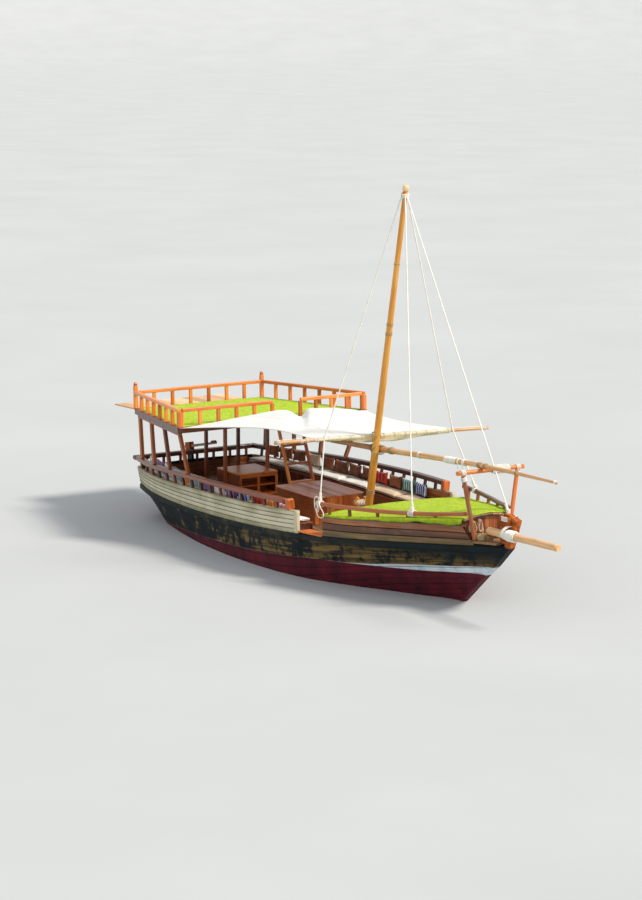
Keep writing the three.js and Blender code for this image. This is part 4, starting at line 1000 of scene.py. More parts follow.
def add_side_rails():
    thick = BALUSTER["width"]
    for hand, side in SIDES:
        rail = Parts()
        side_bar(rail, side, CAP["x"][0], CAP["x"][1] - 0.1, CAP_LINE, CAP["width"], CAP["thickness"],
                 0, -CAP["thickness"] / 2, 0.025, 70)
        x = BALUSTER["first"] - BALUSTER["spacing"]
        while x > CAP["x"][0] + 0.1:
            upright(rail, side, x, CAP_LINE, 0.042, 0.05, thick, thick)
            x -= BALUSTER["spacing"]
        rail.slot = 1
        upright(rail, side, CAP["x"][1] - 0.06, CAP_LINE, 0.05, -0.012, 0.176, 0.12, 0.022)
        rail.finish(f"balustrade_timber_{hand}", ["dark_wood", "orange_wood"],
                    replaces=[f"balustrade_{hand}"])
        fore = Parts()
        side_bar(fore, side, *FORE_RAIL["x"], FORE_LINE, FORE_RAIL["width"],
                 FORE_RAIL["thickness"], 0, -FORE_RAIL["thickness"] / 2, 0.022, 50)
        for x in STANCHIONS:
            upright(fore, side, x, FORE_LINE, 0.045, 0.04, 0.055, 0.065)
        fore.finish(f"rail_fore_timber_{hand}", "varnished_wood", replaces=[f"rail_fore_{hand}"])
    stern = Parts()
    y, z = CAP_LINE(CAP["x"][0])
    half = y + CAP["width"] / 2
    middle, level = sum(STERN_CAP_X) / 2, z - CAP["thickness"] / 2
    stern.bar((middle, -half, level), (middle, half, level), CAP["width"], CAP["thickness"], radius=0.025)
    foot_x = stern_x(1.15) + 0.045
    for k in range(-3, 4):
        stern.post(foot_x, 0.45 * k, 1.14, level, thick, 0.056)
    stern.finish("balustrade_stern_timber", "dark_wood", replaces=["balustrade_stern"])


# Upper deck, in its own frame: x runs to the bow from the middle of the deck's front edge

UPPER = {"x": -1.57, "z": 2.68, "slope": 0.03, "length": 3.54, "front": 2.47, "aft": 1.73,
         "fascia": 0.13, "rail": 0.40}
UPPER_PLACE = Matrix.Translation((UPPER["x"], 0, UPPER["z"])) @ Matrix.Rotation(
    -UPPER["slope"], 4, "Y")
LADDER_GAP = (-0.04, 0.70)
# A corner post of the upper rail with its neck and knob: low, high, width, rounding and taper
CORNER_POST = ((0.001, 0.54, 0.088, 0.012, 1), (0.535, 0.565, 0.07, 0.008, 1),
               (0.56, 0.62, 0.088, 0.02, 0.7))
RAIL_MARGIN = 0.035
TURF_MARGIN = 0.095


def upper_half(x):
    return UPPER["front"] + (UPPER["front"] - UPPER["aft"]) * x / UPPER["length"]


def add_upper_deck():
    deck = Parts()
    front, aft, long = UPPER["front"], UPPER["aft"], UPPER["length"]
    gap = 0.0015
    for left, right in courses(-1, 1, 26):
        rings = [[(x, half * left + gap, -0.036), (x, half * right - gap, -0.036),
                  (x, half * right - gap, 0), (x, half * left + gap, 0)]
                 for x, half in ((-0.002, front), (0.002 - long, aft))]
        deck.grid(rings, closed=True, caps=True, wear=0.3)
    deck.slot = 1
    thickness = 0.035
    inner = thickness / 2
    drop = -UPPER["fascia"] / 2 - 0.004
    corners = [(-inner, -front + inner), (-inner, front - inner),
               (-long + inner, aft - inner), (-long + inner, -aft + inner)]
    for start, end in zip(corners, corners[1:] + corners[:1]):
        deck.bar((*start, drop), (*end, drop), thickness, UPPER["fascia"] - 0.008)
        deck.bar((*start, -0.012), (*end, -0.012), thickness + 0.024, 0.024)
    for x in (-3.30, -2.40, -1.33, -0.30):
        half = upper_half(x) - 0.04
        deck.bar((x, -half, -0.082), (x, half, -0.082), 0.07, 0.09, radius=0.01)
    for y in (-1.15, 1.15):
        deck.bar((-4.95, y, -0.108), (-3.45, y, -0.108), 0.07, 0.034, radius=0.006)
    deck.finish("upper_deck_timber", ["varnished_wood", "dark_wood"], replaces=["upper_deck"],
                place=UPPER_PLACE)

    shelf = Parts()
    for y0, y1 in courses(-1.5, 1.5, 10):
        shelf.block((-5.01, y0 + 0.002, -0.09), (-3.542, y1 - 0.002, -0.06), radius=0.005)
    shelf.finish("aft_shelf_boards", "pale_wood", replaces=["aft_shelf"], place=UPPER_PLACE)


def rail_run(parts, start, end, count, ends=(True, True)):
    """A rail on posts. ends says whether there is a post at the start and at the end."""
    rail_z, post_top = UPPER["rail"] - 0.022, UPPER["rail"] - 0.05
    parts.bar((*start, rail_z), (*end, rail_z), 0.09, 0.075, radius=0.014)
    for k in range(0 if ends[0] else 1, count + 1 if ends[1] else count):
        x, y = (a + (b - a) * k / count for a, b in zip(start, end))
        parts.post(x, y, 0.001, post_top, 0.078, 0.064)


def add_upper_rails():
    aft_x = -UPPER["length"] + RAIL_MARGIN
    aft_half, front_half = (upper_half(x) - RAIL_MARGIN for x in (aft_x, -RAIL_MARGIN))
    ring = Parts()
    for side in (-1, 1):
        x, y = aft_x, side * aft_half
        rail_run(ring, (x, y), (-RAIL_MARGIN, side * front_half), 7, (False, True))
        for low, high, width, radius, taper in CORNER_POST:
            ring.post(x, y, low, high, width, width, radius, taper)
    rail_run(ring, (aft_x, -aft_half), (aft_x, aft_half), 7, (False, False))
    ring.finish("upper_rail_timber", "orange_wood", replaces=["upper_rail"], place=UPPER_PLACE)
    edge = front_half - 0.072
    for hand, start, end, count in (("starboard", -edge, LADDER_GAP[0], 5),
                                    ("port", LADDER_GAP[1], edge, 4)):
        front = Parts()
        rail_run(front, (-RAIL_MARGIN, start), (-RAIL_MARGIN, end), count)
        front.finish(f"upper_rail_front_timber_{hand}", "orange_wood",
                     replaces=[f"upper_rail_front_{hand}"], place=UPPER_PLACE)


def upper_under(x):
    return UPPER["z"] - UPPER["fascia"] + UPPER["slope"] * (x - UPPER["x"])


def post_half(x):
    """How far out the leaning posts' tops stand."""
    return upper_half(x - UPPER["x"]) - 0.075


# The x of each leaning post's foot and top
LEANING_POSTS = ((-4.85, -4.86), (-3.85, -3.92), (-2.86, -2.88), (-1.86, -1.70))
POST_WIDTH = 0.082


def add_posts():
    for hand, side in SIDES:
        posts = Parts()
        for foot_x, top_x in LEANING_POSTS:
            y, z = CAP_LINE(foot_x)
            posts.bar((foot_x, side * y, z), (top_x, side * post_half(top_x), upper_under(top_x) - 0.001),
                      POST_WIDTH, POST_WIDTH, up=(1, 0, 0), radius=0.012)
        ends = (LEANING_POSTS[0][1] - 0.08, LEANING_POSTS[-1][1] + 0.08)
        start, end = [(x, side * post_half(x), upper_under(x) - 0.036) for x in ends]
        posts.bar(start, end, 0.072, 0.062, radius=0.01)
        posts.finish(f"posts_timber_{hand}", "varnished_wood", replaces=[f"posts_{hand}"])
    for name, x, y in (("aft", -4.0, 0.43), ("fore", -2.86, 0.56)):
        posts = Parts()
        top = upper_under(x) - 0.004
        for side in (-1, 1):
            posts.post(x, side * y, DECK_TOP + 0.001, top - 0.07, 0.075, 0.075)
        posts.bar((x, -y - 0.2, top - 0.04), (x, y + 0.2, top - 0.04), 0.075, 0.08, radius=0.01)
        posts.finish(f"inner_posts_timber_{name}", "varnished_wood", replaces=[f"inner_posts_{name}"])


LADDER = {"foot": (-0.735, DECK_TOP), "top": (-1.519, 2.64), "y": (0.03, 0.64),
          "treads": (0.92, 1.31, 1.70, 2.09, 2.46)}


def add_ladder():
    ladder = Parts()
    (foot_x, foot_z), (top_x, top_z) = LADDER["foot"], LADDER["top"]
    run = (top_x - foot_x) / (top_z - foot_z)
    for y in LADDER["y"]:
        ladder.bar((foot_x, y, foot_z + 0.001), (top_x, y, top_z), 0.045, 0.095, up=(1, 0, 0),
                   radius=0.01)
    for z in LADDER["treads"]:
        x = foot_x + run * (z - foot_z)
        ladder.bar((x, LADDER["y"][0], z), (x, LADDER["y"][1], z), 0.14, 0.036, radius=0.008)
    ladder.finish("ladder_timber", "orange_wood", replaces=["ladder"])


# Furniture in the waist

CASING = {"x": (-0.44, 1.17), "half": 0.605, "top": 1.39, "lid": 0.035, "overhang": 0.025}
COUNTER = {"x": (-3.35, -2.30), "half": 0.51, "top": 1.33, "shelf": 1.03, "recess": 0.42}
BOARD_WIDTH = 0.105


def boarded_wall(parts, start, end, bottom, top):
    """Upright boards side by side across the boat, with a groove at each joint."""
    x, width = start[0], end[1] - start[1]
    count = round(width / BOARD_WIDTH)
    for y0, y1 in courses(start[1], end[1], count):
        parts.bar((x, (y0 + y1) / 2, bottom), (x, (y0 + y1) / 2, top), width / count - 0.003, 0.02,
                  up=(-1, 0, 0), radius=0.005)


def add_casing():
    casing = Parts()
    (x0, x1), half = CASING["x"], CASING["half"]
    bottom, top = DECK_TOP + 0.001, CASING["top"] - CASING["lid"] - 0.001
    inset = 0.011
    # The end walls take the brighter orange wood as painted sunlight, and the sides the darker varnish as
    # painted shade
    for x in (x1 - inset, x0 + inset):
        boarded_wall(casing, (x, -half), (x, half), bottom, top)
    casing.slot = 1
    for side in (-1, 1):
        y = side * (half - inset)
        for z0, z1 in courses(bottom, top, 3):
            casing.block((x0 + 0.02, y - 0.01, z0 + 0.001), (x1 - 0.02, y + 0.01, z1 - 0.001), 0.004)
        for x in (x0 + 0.035, x1 - 0.035):
            casing.block((x - 0.035, y - 0.014, bottom), (x + 0.035, y + 0.014, top))
    casing.finish("casing_boards", ["orange_wood", "varnished_wood"], replaces=["engine_casing"])
    lid = Parts()
    over = CASING["overhang"]
    for y0, y1 in courses(-half - over, half + over, 9):
        lid.block((x0 - over, y0 + 0.002, top + 0.002), (x1 + over, y1 - 0.002, CASING["top"]))
    lid.finish("lid_boards", "lid_boards", replaces=["casing_lid"])


def add_counter():
    counter = Parts()
    (x0, x1), half, top = COUNTER["x"], COUNTER["half"], COUNTER["top"]
    bottom, shelf, under = DECK_TOP + 0.001, COUNTER["shelf"], COUNTER["top"] - 0.037
    back, inner = x1 - COUNTER["recess"], half - 0.046
    counter.block((x0, -half, top - 0.035), (x1 + 0.002, half, top), 0.008)
    counter.slot = 1
    for low, high in ((-half, 0.044 - half), (half - 0.044, half)):
        for z0, z1 in courses(bottom, top - 0.036, 2):
            counter.block((x0, low, z0 + 0.001), (x1, high, z1 - 0.001), 0.005)
    boarded_wall(counter, (x0 + 0.011, -half + 0.045), (x0 + 0.011, half - 0.045), bottom, under)
    counter.slot = 0
    counter.block((back - 0.02, -inner, bottom), (back, inner, under), 0.004)
    for low, high in ((shelf - 0.015, shelf + 0.02), (bottom, bottom + 0.06)):
        counter.block((back, -inner, low), (x1 - 0.004, inner, high))
    # A frame of two rails and three stiles round the shelves' open side
    low, high = bottom + 0.07, top - 0.11
    for z0, z1 in ((bottom, low), (high, under)):
        counter.block((x1 - 0.012, -half + 0.02, z0), (x1 + 0.008, half - 0.02, z1))
    for y in (-half + 0.035, half - 0.035, 0):
        counter.block((x1 - 0.012, y - 0.035, low), (x1 + 0.008, y + 0.035, high))
    counter.finish("counter_timber", ["orange_wood", "dark_wood"], replaces=["counter"])


BENCH = {"x": (-4.70, 2.33), "depth": 0.54, "wall": 0.105, "height": 0.35, "step": (2.33, 3.38)}


def bench_line(x):
    return bulwark_top(x)[0], DECK_TOP


def add_benches():
    inner = -BENCH["wall"] - BENCH["depth"]
    (x0, x1), (step0, step1), top = BENCH["x"], BENCH["step"], BENCH["height"]
    board = BENCH["depth"] / 4
    for hand, side in SIDES:
        bench = Parts()
        for k in range(4):
            side_bar(bench, side, x0, x1, bench_line, board - 0.006, 0.03,
                     inner + 0.025 + board * (k + 0.5), top - 0.015, 0.006, 40)
        side_bar(bench, side, x0, x1, bench_line, 0.03, 0.05, inner + 0.015, top - 0.026, 0.008, 40)
        bench.slot = 1
        for x in np.arange(x0 + 0.02, x1 - 0.02, 0.16):
            halves = [bench_line(end)[0] + inner + 0.02 for end in (x, min(x + 0.155, x1))]
            middle, y = x + 0.0775, side * sum(halves) / 2
            bench.bar((middle, y, DECK_TOP + 0.002), (middle, y, DECK_TOP + top - 0.05), 0.154, 0.02,
                      up=(0, 1, 0), radius=0.005)
        half = bench_line(x1)[0]
        low, high = sorted((side * (half + inner + 0.01), side * (half - 0.13)))
        bench.block((x1 - 0.03, low, DECK_TOP + 0.002), (x1 - 0.005, high, DECK_TOP + top - 0.03))
        bench.slot = 2
        for k in range(3):
            side_bar(bench, side, step0 + 0.01, step1, bench_line, 0.135, 0.03,
                     inner + 0.14 * (k + 1.5), top - 0.185, 0.006, 12)
        side_bar(bench, side, step0 + 0.01, step1, bench_line, 0.02, top - 0.2, inner + 0.145,
                 (top - 0.2) / 2, 0.005, 12)
        bench.finish(f"bench_timber_{hand}", ["varnished_wood", "dark_wood", "white_paint"],
                     replaces=[f"bench_{hand}"])


# Spars and masts

MAST = {"foot": DECK_TOP, "top": 8.12, "radius": (0.088, 0.052)}
# How far above the mast's top each ring of the truck is, and its radius
TRUCK = ((0.001, 0.052), (0.02, 0.066), (0.05, 0.07), (0.08, 0.068), (0.105, 0.062), (0.122, 0.048),
         (0.13, 0.02))
# The middle of the crossbar on the bitts, and that of the gallows bar
BITTS = np.array((2.08, 0, 1.365))
GALLOWS_BAR = np.array((6.83, 0, 2.825))


def mast_x(z):
    return 2.39 + 0.1994 * (z - 1.39)


def mast_radius(z):
    low, high = MAST["radius"]
    return low + (high - low) * (z - MAST["foot"]) / (MAST["top"] - MAST["foot"])


def add_mast():
    mast = Parts()
    zs = np.linspace(MAST["foot"] + 0.001, MAST["top"], 60)
    mast.spar([(mast_x(z), 0, z) for z in zs], [mast_radius(z) for z in zs], 28, 0.015, tone=0.6,
              seed=3)
    mast.finish("mast_spar", "honey_wood", replaces=["mast"])
    truck = Parts()
    levels = [MAST["top"] + rise for rise, _ in TRUCK]
    truck.spar([(mast_x(z), 0, z) for z in levels], [radius for _, radius in TRUCK], tone=0.8)
    truck.finish("truck_knob", "pale_wood", replaces=["masthead_truck"])
    bitts = Parts()
    for y in (-0.095, 0.095):
        bitts.post(BITTS[0], y, DECK_TOP + 0.001, 1.47, 0.08, 0.08)
        bitts.post(BITTS[0], y, 1.465, 1.5, 0.08, 0.08, 0.02, 0.8)
    bitts.bar(BITTS - (0, 0.17, 0), BITTS + (0, 0.17, 0), 0.1, 0.07, radius=0.014)
    bitts.finish("bitts_timber", "honey_wood", replaces=["mast_bitts"])


POLE = {"radius": (0.040, 0.034), "y": (-2.20, 2.62), "z": (2.87, 2.90), "skew": 0.89 / 4.82}
POLE_BACK = (mast_radius(2.884) - 0.001 + 0.04) / math.cos(math.atan(POLE["skew"]))


def pole_at(y):
    """The awning pole's place and radius at a y."""
    share = (y - POLE["y"][0]) / (POLE["y"][1] - POLE["y"][0])
    z = POLE["z"][0] + (POLE["z"][1] - POLE["z"][0]) * share
    radius = POLE["radius"][0] + (POLE["radius"][1] - POLE["radius"][0]) * share
    return np.array([mast_x(2.884) - POLE_BACK + POLE["skew"] * y, y, z]), radius


YARD_POINTS = ((-0.45, 0.40, 2.37), (2.631, 0.144, 2.60), (6.83, -0.20, 2.925), (9.58, -0.43, 3.05))
YARD_RADII = (0.040, 0.065, 0.050, 0.026)
BOWSPRIT = {"ends": ((6.96, -0.1503, 1.648), (9.30, -0.1503, 1.713)), "radii": (0.080, 0.072)}


def add_spars():
    pole = Parts()
    ys = np.linspace(*POLE["y"], 30)
    pole.spar([pole_at(y)[0] for y in ys], [pole_at(y)[1] for y in ys], 16, 0.03, tone=0.5, seed=5)
    pole.finish("awning_pole_spar", "pale_wood", replaces=["awning_pole"])
    yard = Parts()
    line = smooth_line(YARD_POINTS, 90)
    radii = np.interp(line[:, 0], [p[0] for p in YARD_POINTS], YARD_RADII)
    yard.spar(line, radii, 18, 0.03, tone=0.55, seed=8)
    yard.finish("yard_spar", "pale_wood", body="yard", replaces=["yard"])
    sprit = Parts()
    radii = np.linspace(*BOWSPRIT["radii"], 26)
    radii[[0, -1]] *= 0.9
    sprit.spar(np.linspace(*BOWSPRIT["ends"], 26), radii, 22, 0.02, tone=0.7, seed=9)
    sprit.finish("bowsprit_spar", "pale_wood", replaces=["bowsprit"])
    gallows = Parts()
    for side in (-1, 1):
        # The starboard post takes the darker varnish as painted shade and the port post the orange wood as
        # painted sunlight
        gallows.slot = 1 if side < 0 else 0
        line = smooth_line([(6.905, side * 0.41, 1.451), (6.868, side * 0.53, 2.1),
                            (6.83, side * 0.66, 2.81)], 20)
        gallows.spar(line, np.full(21, 0.045), 14, 0.03, tone=0.6, seed=12 + side)
    gallows.slot = 0
    line = np.linspace(GALLOWS_BAR - (0, 0.8, 0), GALLOWS_BAR + (0, 0.8, 0), 16)
    gallows.spar(line, np.full(16, 0.045), 14, 0.03, tone=0.7, seed=14)
    gallows.finish("gallows_spars", ["orange_wood", "varnished_wood"], replaces=["gallows"])


# Decks and turf

def half_line(z, inset):
    """The side's half-breadth at a height less an inset, as a function of x."""
    rows = []
    for u in np.linspace(0, LAST_STATION, 80):
        row = station_at(u)
        section = whole_side(row)
        rows.append([np.interp(z, section[:, 2], section[:, k]) for k in (0, 1)])
    rows = np.array(rows)
    return lambda x: max(float(np.interp(x, rows[:, 0], rows[:, 1])) - inset, 0.0)


def deck_planks(parts, x_from, x_to, half, level, width, thickness):
    """Lengthwise planks cut to the line half(x), with their top at level(x, y)."""
    xs = np.linspace(x_from, x_to, 160)
    reach = np.array([half(x) for x in xs])
    for side in (-1, 1):
        for k in range(math.ceil(reach.max() / width)):
            inner, outer = k * width + 0.002, (k + 1) * width - 0.002
            inside = xs[reach > inner + 0.006]
            if len(inside) < 2:
                continue
            rings = []
            for x in np.linspace(inside[0], inside[-1], 34):
                edge = min(outer, max(half(x), inner + 0.006))
                row = [(inner, -0.004), (inner + 0.004, 0), ((inner + edge) / 2, 0), (edge - 0.004, 0),
                       (edge, -0.004), (edge, -thickness), (inner, -thickness)]
                rings.append([(x, side * y, level(x, y) + drop) for y, drop in row])
            parts.grid(rings, closed=True, caps=True, wear=[[0.7, 0.2, 0, 0.2, 0.7, 0, 0]] * 34)


FOREDECK_X = (3.43, 6.74)
FOREDECK_CROWN = 0.08


def foredeck_rise(x):
    return 0.13 * (x - FOREDECK_X[0]) / (FOREDECK_X[1] - FOREDECK_X[0])


def foredeck_level(x, y):
    half = bulwark_top(x)[0] + 0.014
    return bulwark_top(x)[1] + foredeck_rise(x) + FOREDECK_CROWN * (1 - (y / half) ** 2)


def add_decks():
    deck = Parts()
    inner = half_line(DECK_TOP, 0.062)
    deck_planks(deck, -5.09, 3.49, inner, lambda x, y: DECK_TOP, 0.14, 0.035)
    deck.finish("main_deck_planks", "deck_boards", replaces=["main_deck"])
    fore = Parts()
    deck_planks(fore, *FOREDECK_X, lambda x: bulwark_top(x)[0] - 0.068, foredeck_level, 0.14, 0.055)
    fore.finish("foredeck_planks", "deck_boards", replaces=["foredeck"])
    for name, x, low, step in (("foredeck", 3.52, DECK_TOP + 0.001, 0.12), ("bow", 6.66, 1.03, 0.098)):
        wall = Parts()
        heights = np.linspace(low, 1.7, 30)
        reach = [half_line(z, 0.066)(x) for z in heights]
        half = bulwark_top(x)[0] - 0.07
        boards = math.ceil(half / step)
        for k in range(-boards, boards):
            y0, y1 = max(k * step, -half), min((k + 1) * step, half)
            if y1 - y0 < 0.02:
                continue
            out = max(abs(y0), abs(y1))
            foot = float(np.interp(out, reach, heights)) if out > reach[0] else low
            top = foredeck_level(x, out) - 0.06
            wall.post(x, (y0 + y1) / 2, foot, top, y1 - y0 - 0.002, 0.036, 0.006)
        wall.finish(f"{name}_bulkhead_boards", "varnished_wood", replaces=[f"{name}_bulkhead"])


def add_blades(parts, points, length, seed):
    """Short blades of turf standing at the points."""
    drift = np.random.default_rng(seed)
    count = len(points)
    angle = drift.uniform(0, TAU, count)
    wide = np.stack([np.cos(angle), np.sin(angle), np.zeros(count)], 1) * 0.0022
    lean = drift.normal(0, 0.35, (count, 2)) * length
    tip = np.column_stack([lean, drift.uniform(0.7, 1.15, count) * length])
    corners = np.stack([points - wide, points + wide, points + tip], 1).reshape(-1, 3)
    faces = [(3 * k, 3 * k + 1, 3 * k + 2) for k in range(count)]
    parts.add(corners, faces, np.zeros((3 * count, 3)), tone=0.5)


def add_upper_turf(drift):
    upper = Parts()
    x0, x1 = -TURF_MARGIN, -UPPER["length"] + TURF_MARGIN
    shares = np.concatenate([[-1.0, -1.0], np.linspace(-0.994, 0.994, 60), [1.0, 1.0]])
    xs = np.concatenate([[x0, x0], np.linspace(x0 - 0.012, x1 + 0.012, 54), [x1, x1]])
    grid = []
    for x in xs:
        half = upper_half(x) - TURF_MARGIN
        grid.append([(x, half * share, 0.0185 + 0.0035 * math.sin(3.1 * x + 2 * share)
                      * math.sin(5 * share * half)) for share in shares])
    grid = np.array(grid)
    # The rim stands upright from the deck to just under the pile's top
    for index in (0, -1):
        grid[index, :, 2] = 0.001
        grid[:, index, 2] = 0.001
    for index in (1, -2):
        grid[index, :, 2] = 0.014
        grid[:, index, 2] = np.minimum(grid[:, index, 2], 0.014)
    upper.grid(grid, tone=0.5)
    spots = drift.uniform((x1 + 0.01, -1), (x0 - 0.01, 1), (11000, 2))
    ys = spots[:, 1] * (upper_half(spots[:, 0]) - TURF_MARGIN - 0.01)
    add_blades(upper, np.column_stack([spots[:, 0], ys, np.full(len(ys), 0.016)]), 0.017, seed=22)
    upper.finish("upper_turf_pile", "turf", replaces=["upper_turf"], place=UPPER_PLACE,
                 outward=False, weighted=False)


def add_foredeck_turf(drift):
    fore = Parts()
    rows, drape_shade = [], []
    shares = np.linspace(-0.985, 0.985, 30)
    xs = np.linspace(*FOREDECK_X, 80)
    for x in xs:
        half = bulwark_top(x)[0] + 0.02
        edge = bulwark_top(x)[1] + foredeck_rise(x)
        drape = 0.012 + 0.7 * foredeck_rise(x)
        hems = []
        for side in (-1, 1):
            wave = 1 + 0.22 * math.sin(5.3 * x + side) + 0.13 * math.sin(13.1 * x + 2 * side)
            drop = drape * wave
            out = 0.004 * math.sin(9 * x + side)
            # The third value of each hem point is its painted shade, growing down the drape
            hems.append([(side * (half + out), edge - drop, 1.0),
                         (side * (half + out / 2), edge - 0.75 * drop, 0.5),
                         (side * half, edge - 0.01, 0.1), (side * (half - 0.004), edge + 0.014, 0.0)])
        top = [(half * s, edge + 0.022 + FOREDECK_CROWN * (1 - s * s)
                + 0.004 * math.sin(4 * x + 3 * s) * math.sin(6 * s + x), 0.0) for s in shares]
        line = hems[0] + top + hems[1][::-1]
        rows.append([(x, y, z) for y, z, _ in line])
        drape_shade.append([dark for *_, dark in line])
    fore.grid(rows, tone=0.5, seam_and_shade=drape_shade)
    fore.finish("foredeck_turf_cover", "turf", replaces=["foredeck_turf"], thickness=0.013, weighted=False)
    pile = Parts()
    spots = drift.uniform((FOREDECK_X[0] + 0.01, -0.99), (FOREDECK_X[1] - 0.01, 0.99), (9000, 2))
    halves = np.interp(spots[:, 0], xs, [bulwark_top(x)[0] + 0.012 for x in xs])
    levels = np.interp(spots[:, 0], xs, [bulwark_top(x)[1] + foredeck_rise(x) for x in xs])
    zs = levels + 0.021 + FOREDECK_CROWN * (1 - spots[:, 1] ** 2)
    add_blades(pile, np.column_stack([spots[:, 0], halves * spots[:, 1], zs]), 0.018, seed=23)
    pile.finish("foredeck_turf_pile", "turf", outward=False, weighted=False)


# Gate between the two bulwarks: a rounded post, and three treads before a low board

GATE_TREADS = {"z": 1.066, "out": (-0.045, -0.15, -0.255)}


def add_gates():
    for hand, side in SIDES:
        gate = Parts()
        x = GATE_X[0] + 0.01
        top, wale = bulwark_top(x), wale_line(x)
        line = smooth_line([(x, side * (wale[0] + 0.004), wale[1] + 0.01),
                            (x + 0.012, side * (top[0] - 0.005), wale[1] + 0.22),
                            (x, side * (top[0] - 0.012), top[1] + 0.018)], 14)
        outline, wear = rounded(0.10, 0.13, 0.045)
        gate.sweep(line, outline, wear=wear, sides=np.tile((0, side, 0), (len(line), 1)),
                   ups=np.tile((1, 0, 0), (len(line), 1)))
        gate.slot = 1
        for out in GATE_TREADS["out"]:
            side_bar(gate, side, GATE_X[0] + 0.05, GATE_X[1] - 0.004,
                     lambda x: (bulwark_top(x)[0], GATE_TREADS["z"]), 0.1, 0.03, out, 0, 0.007, 10)
        side_bar(gate, side, GATE_X[0] + 0.02, GATE_X[1] - 0.004,
                 lambda x: (bulwark_top(x)[0], 0.92), 0.02, 0.26, -0.31, 0, 0.006, 10)
        gate.finish(f"gate_frame_{hand}", ["cream_paint", "orange_wood"])


# Stays: laid rope from the mast's head to the rails, lashed round them. Each has its foot's x, its
# side and, where it is tied to the awning pole, that point.

STAY_RADIUS = 0.016
STAY_TOP = 8.02
FORESTAY_FOOT_Z = 2.06
STAYS = (
    ("shroud_aft_starboard", 3.345, -1, (3.18, -1.60, 3.073)),
    ("shroud_fore_starboard", 5.65, -1, None),
    ("shroud_port", 3.95, 1, (3.419, 1.432, 3.019)),
    ("forestay", 7.45, 0, None),
)


def add_stays():
    for name, x, side, tie in STAYS:
        stay = Parts()
        y, z = FORE_LINE(x) if side else (0.0, FORESTAY_FOOT_Z)
        foot = np.array([x, side * y, z])
        head = np.array([mast_x(STAY_TOP), 0, STAY_TOP])
        toward = (np.array(tie or foot) - head) * (1, 1, 0)
        head = head + toward / np.linalg.norm(toward) * (mast_radius(STAY_TOP) + 0.02)
        start = foot + (0, 0, 0.04)
        stay.rope([start, tie, head] if tie else smooth_line([start, head], 40), STAY_RADIUS)
        up = np.array(tie or head) - foot
        up /= np.linalg.norm(up)
        low = foot + (0, 0, 0.02)
        stay.rope(helix(low, low + up * 0.17, 0.022, 9, 10), 0.0095)
        stay.rope(helix(foot, foot + (0, 0, 0.085), 0.034, 4, 12), 0.011)
        if side:
            half, depth = FORE_RAIL["width"] / 2 + 0.012, (FORE_RAIL["thickness"] + 0.02) * 1.15
            for at in x + 0.026 * np.arange(-2, 3):
                y, z = FORE_LINE(at)
                stay.rope(hoop((at, side * y, z - 0.04), (0, side * half, 0), (0, 0, depth / 2), 17), 0.0115)
        else:
            for k in range(4):
                stay.rope(hoop((7.465, 0, 1.93 + 0.024 * k), (0.175, 0, 0), (0, 0.122, 0.01), 25), 0.012)
        if tie:
            stay.rope(helix(tie - up * 0.05, tie + up * 0.05, 0.02, 4, 10), 0.008)
            pole = pole_at(tie[1])[0]
            stay.rope([tie, (tie + pole) / 2 + (0, 0, -0.006), pole], 0.006)
            stay.rope(helix(pole + (-0.01, -0.03, 0), pole + (0.01, 0.03, 0), 0.046, 3, 12), 0.007)
        stay.finish(f"{name}_rope", "rope", replaces=[name], weighted=False)
    band = Parts()
    for radius, low, turns in ((0.0665, 7.992, 4), (0.078, 7.998, 3)):
        band.rope(helix((mast_x(low), 0, low), (mast_x(8.075), 0, 8.075), radius, turns, 18), 0.0112)
    band.finish("masthead_lashing", "rope", replaces=["masthead_band"], weighted=False)


# Awning

AWNING = {"half": 2.44, "fore": (-1.40, 1.79), "hollow": 0.33, "belly": 0.30, "lift": 0.07,
          "aft_x": -1.5691, "aft_z": 2.662}
HEM_BEND = 0.34


def awning_point(u, v):
    """The upper face of the awning at shares across (u) and forward (v)."""
    aft = AWNING["half"] * (2 * u - 1)
    fore = AWNING["fore"][0] + (AWNING["fore"][1] - AWNING["fore"][0]) * u
    pole, radius = pole_at(fore)
    arch, across = math.sin(math.pi * v), math.sin(math.pi * u)
    x = AWNING["aft_x"] + (pole[0] - AWNING["aft_x"]) * v
    y = aft + (fore - aft) * v + AWNING["hollow"] * arch * (1 - 2 * u)
    z = AWNING["aft_z"] + (pole[2] + radius - AWNING["aft_z"]) * v + 0.009
    z += AWNING["belly"] * math.sin(math.pi * v**0.62) * max(across, 0) ** 0.8
    z += AWNING["lift"] * arch * (1 - u)
    off = y - 0.66 + 2.25 * v
    valley = math.exp(-(off / (0.09 if off > 0 else 0.26)) ** 2) * min(v / 0.05, 1)
    z -= 0.20 * valley * math.exp(-(v / 0.62) ** 4)
    z += arch * (0.010 * math.sin(17 * u + 3 * v) + 0.006 * math.sin(41 * u - 7 * v))
    z += 0.012 * math.sin(30 * u) * v**3 * across
    return x, y, z


def hem_point(u, share):
    """The hem flap at shares along the pole and down: round the pole first, then hanging."""
    y = AWNING["fore"][0] + (AWNING["fore"][1] - AWNING["fore"][0]) * u
    (x, _, z), radius = pole_at(y)
    if share < HEM_BEND:
        angle = math.pi / 2 - share / HEM_BEND * math.pi * 0.62
        return x + (radius + 0.006) * math.cos(angle), y, z + (radius + 0.006) * math.sin(angle)
    near = math.exp(-((y - 0.1) / (1.1 if y > 0.1 else 0.6)) ** 2)
    length = 0.02 + 0.10 * near * (1 + 0.12 * math.sin(23 * u))
    drop = (share - HEM_BEND) / (1 - HEM_BEND)
    wave = 0.014 * drop * math.sin(34 * u + 2 * drop)
    return x + (radius + 0.004) * 0.9 - 0.03 * drop + wave, y, z - 0.016 - length * drop


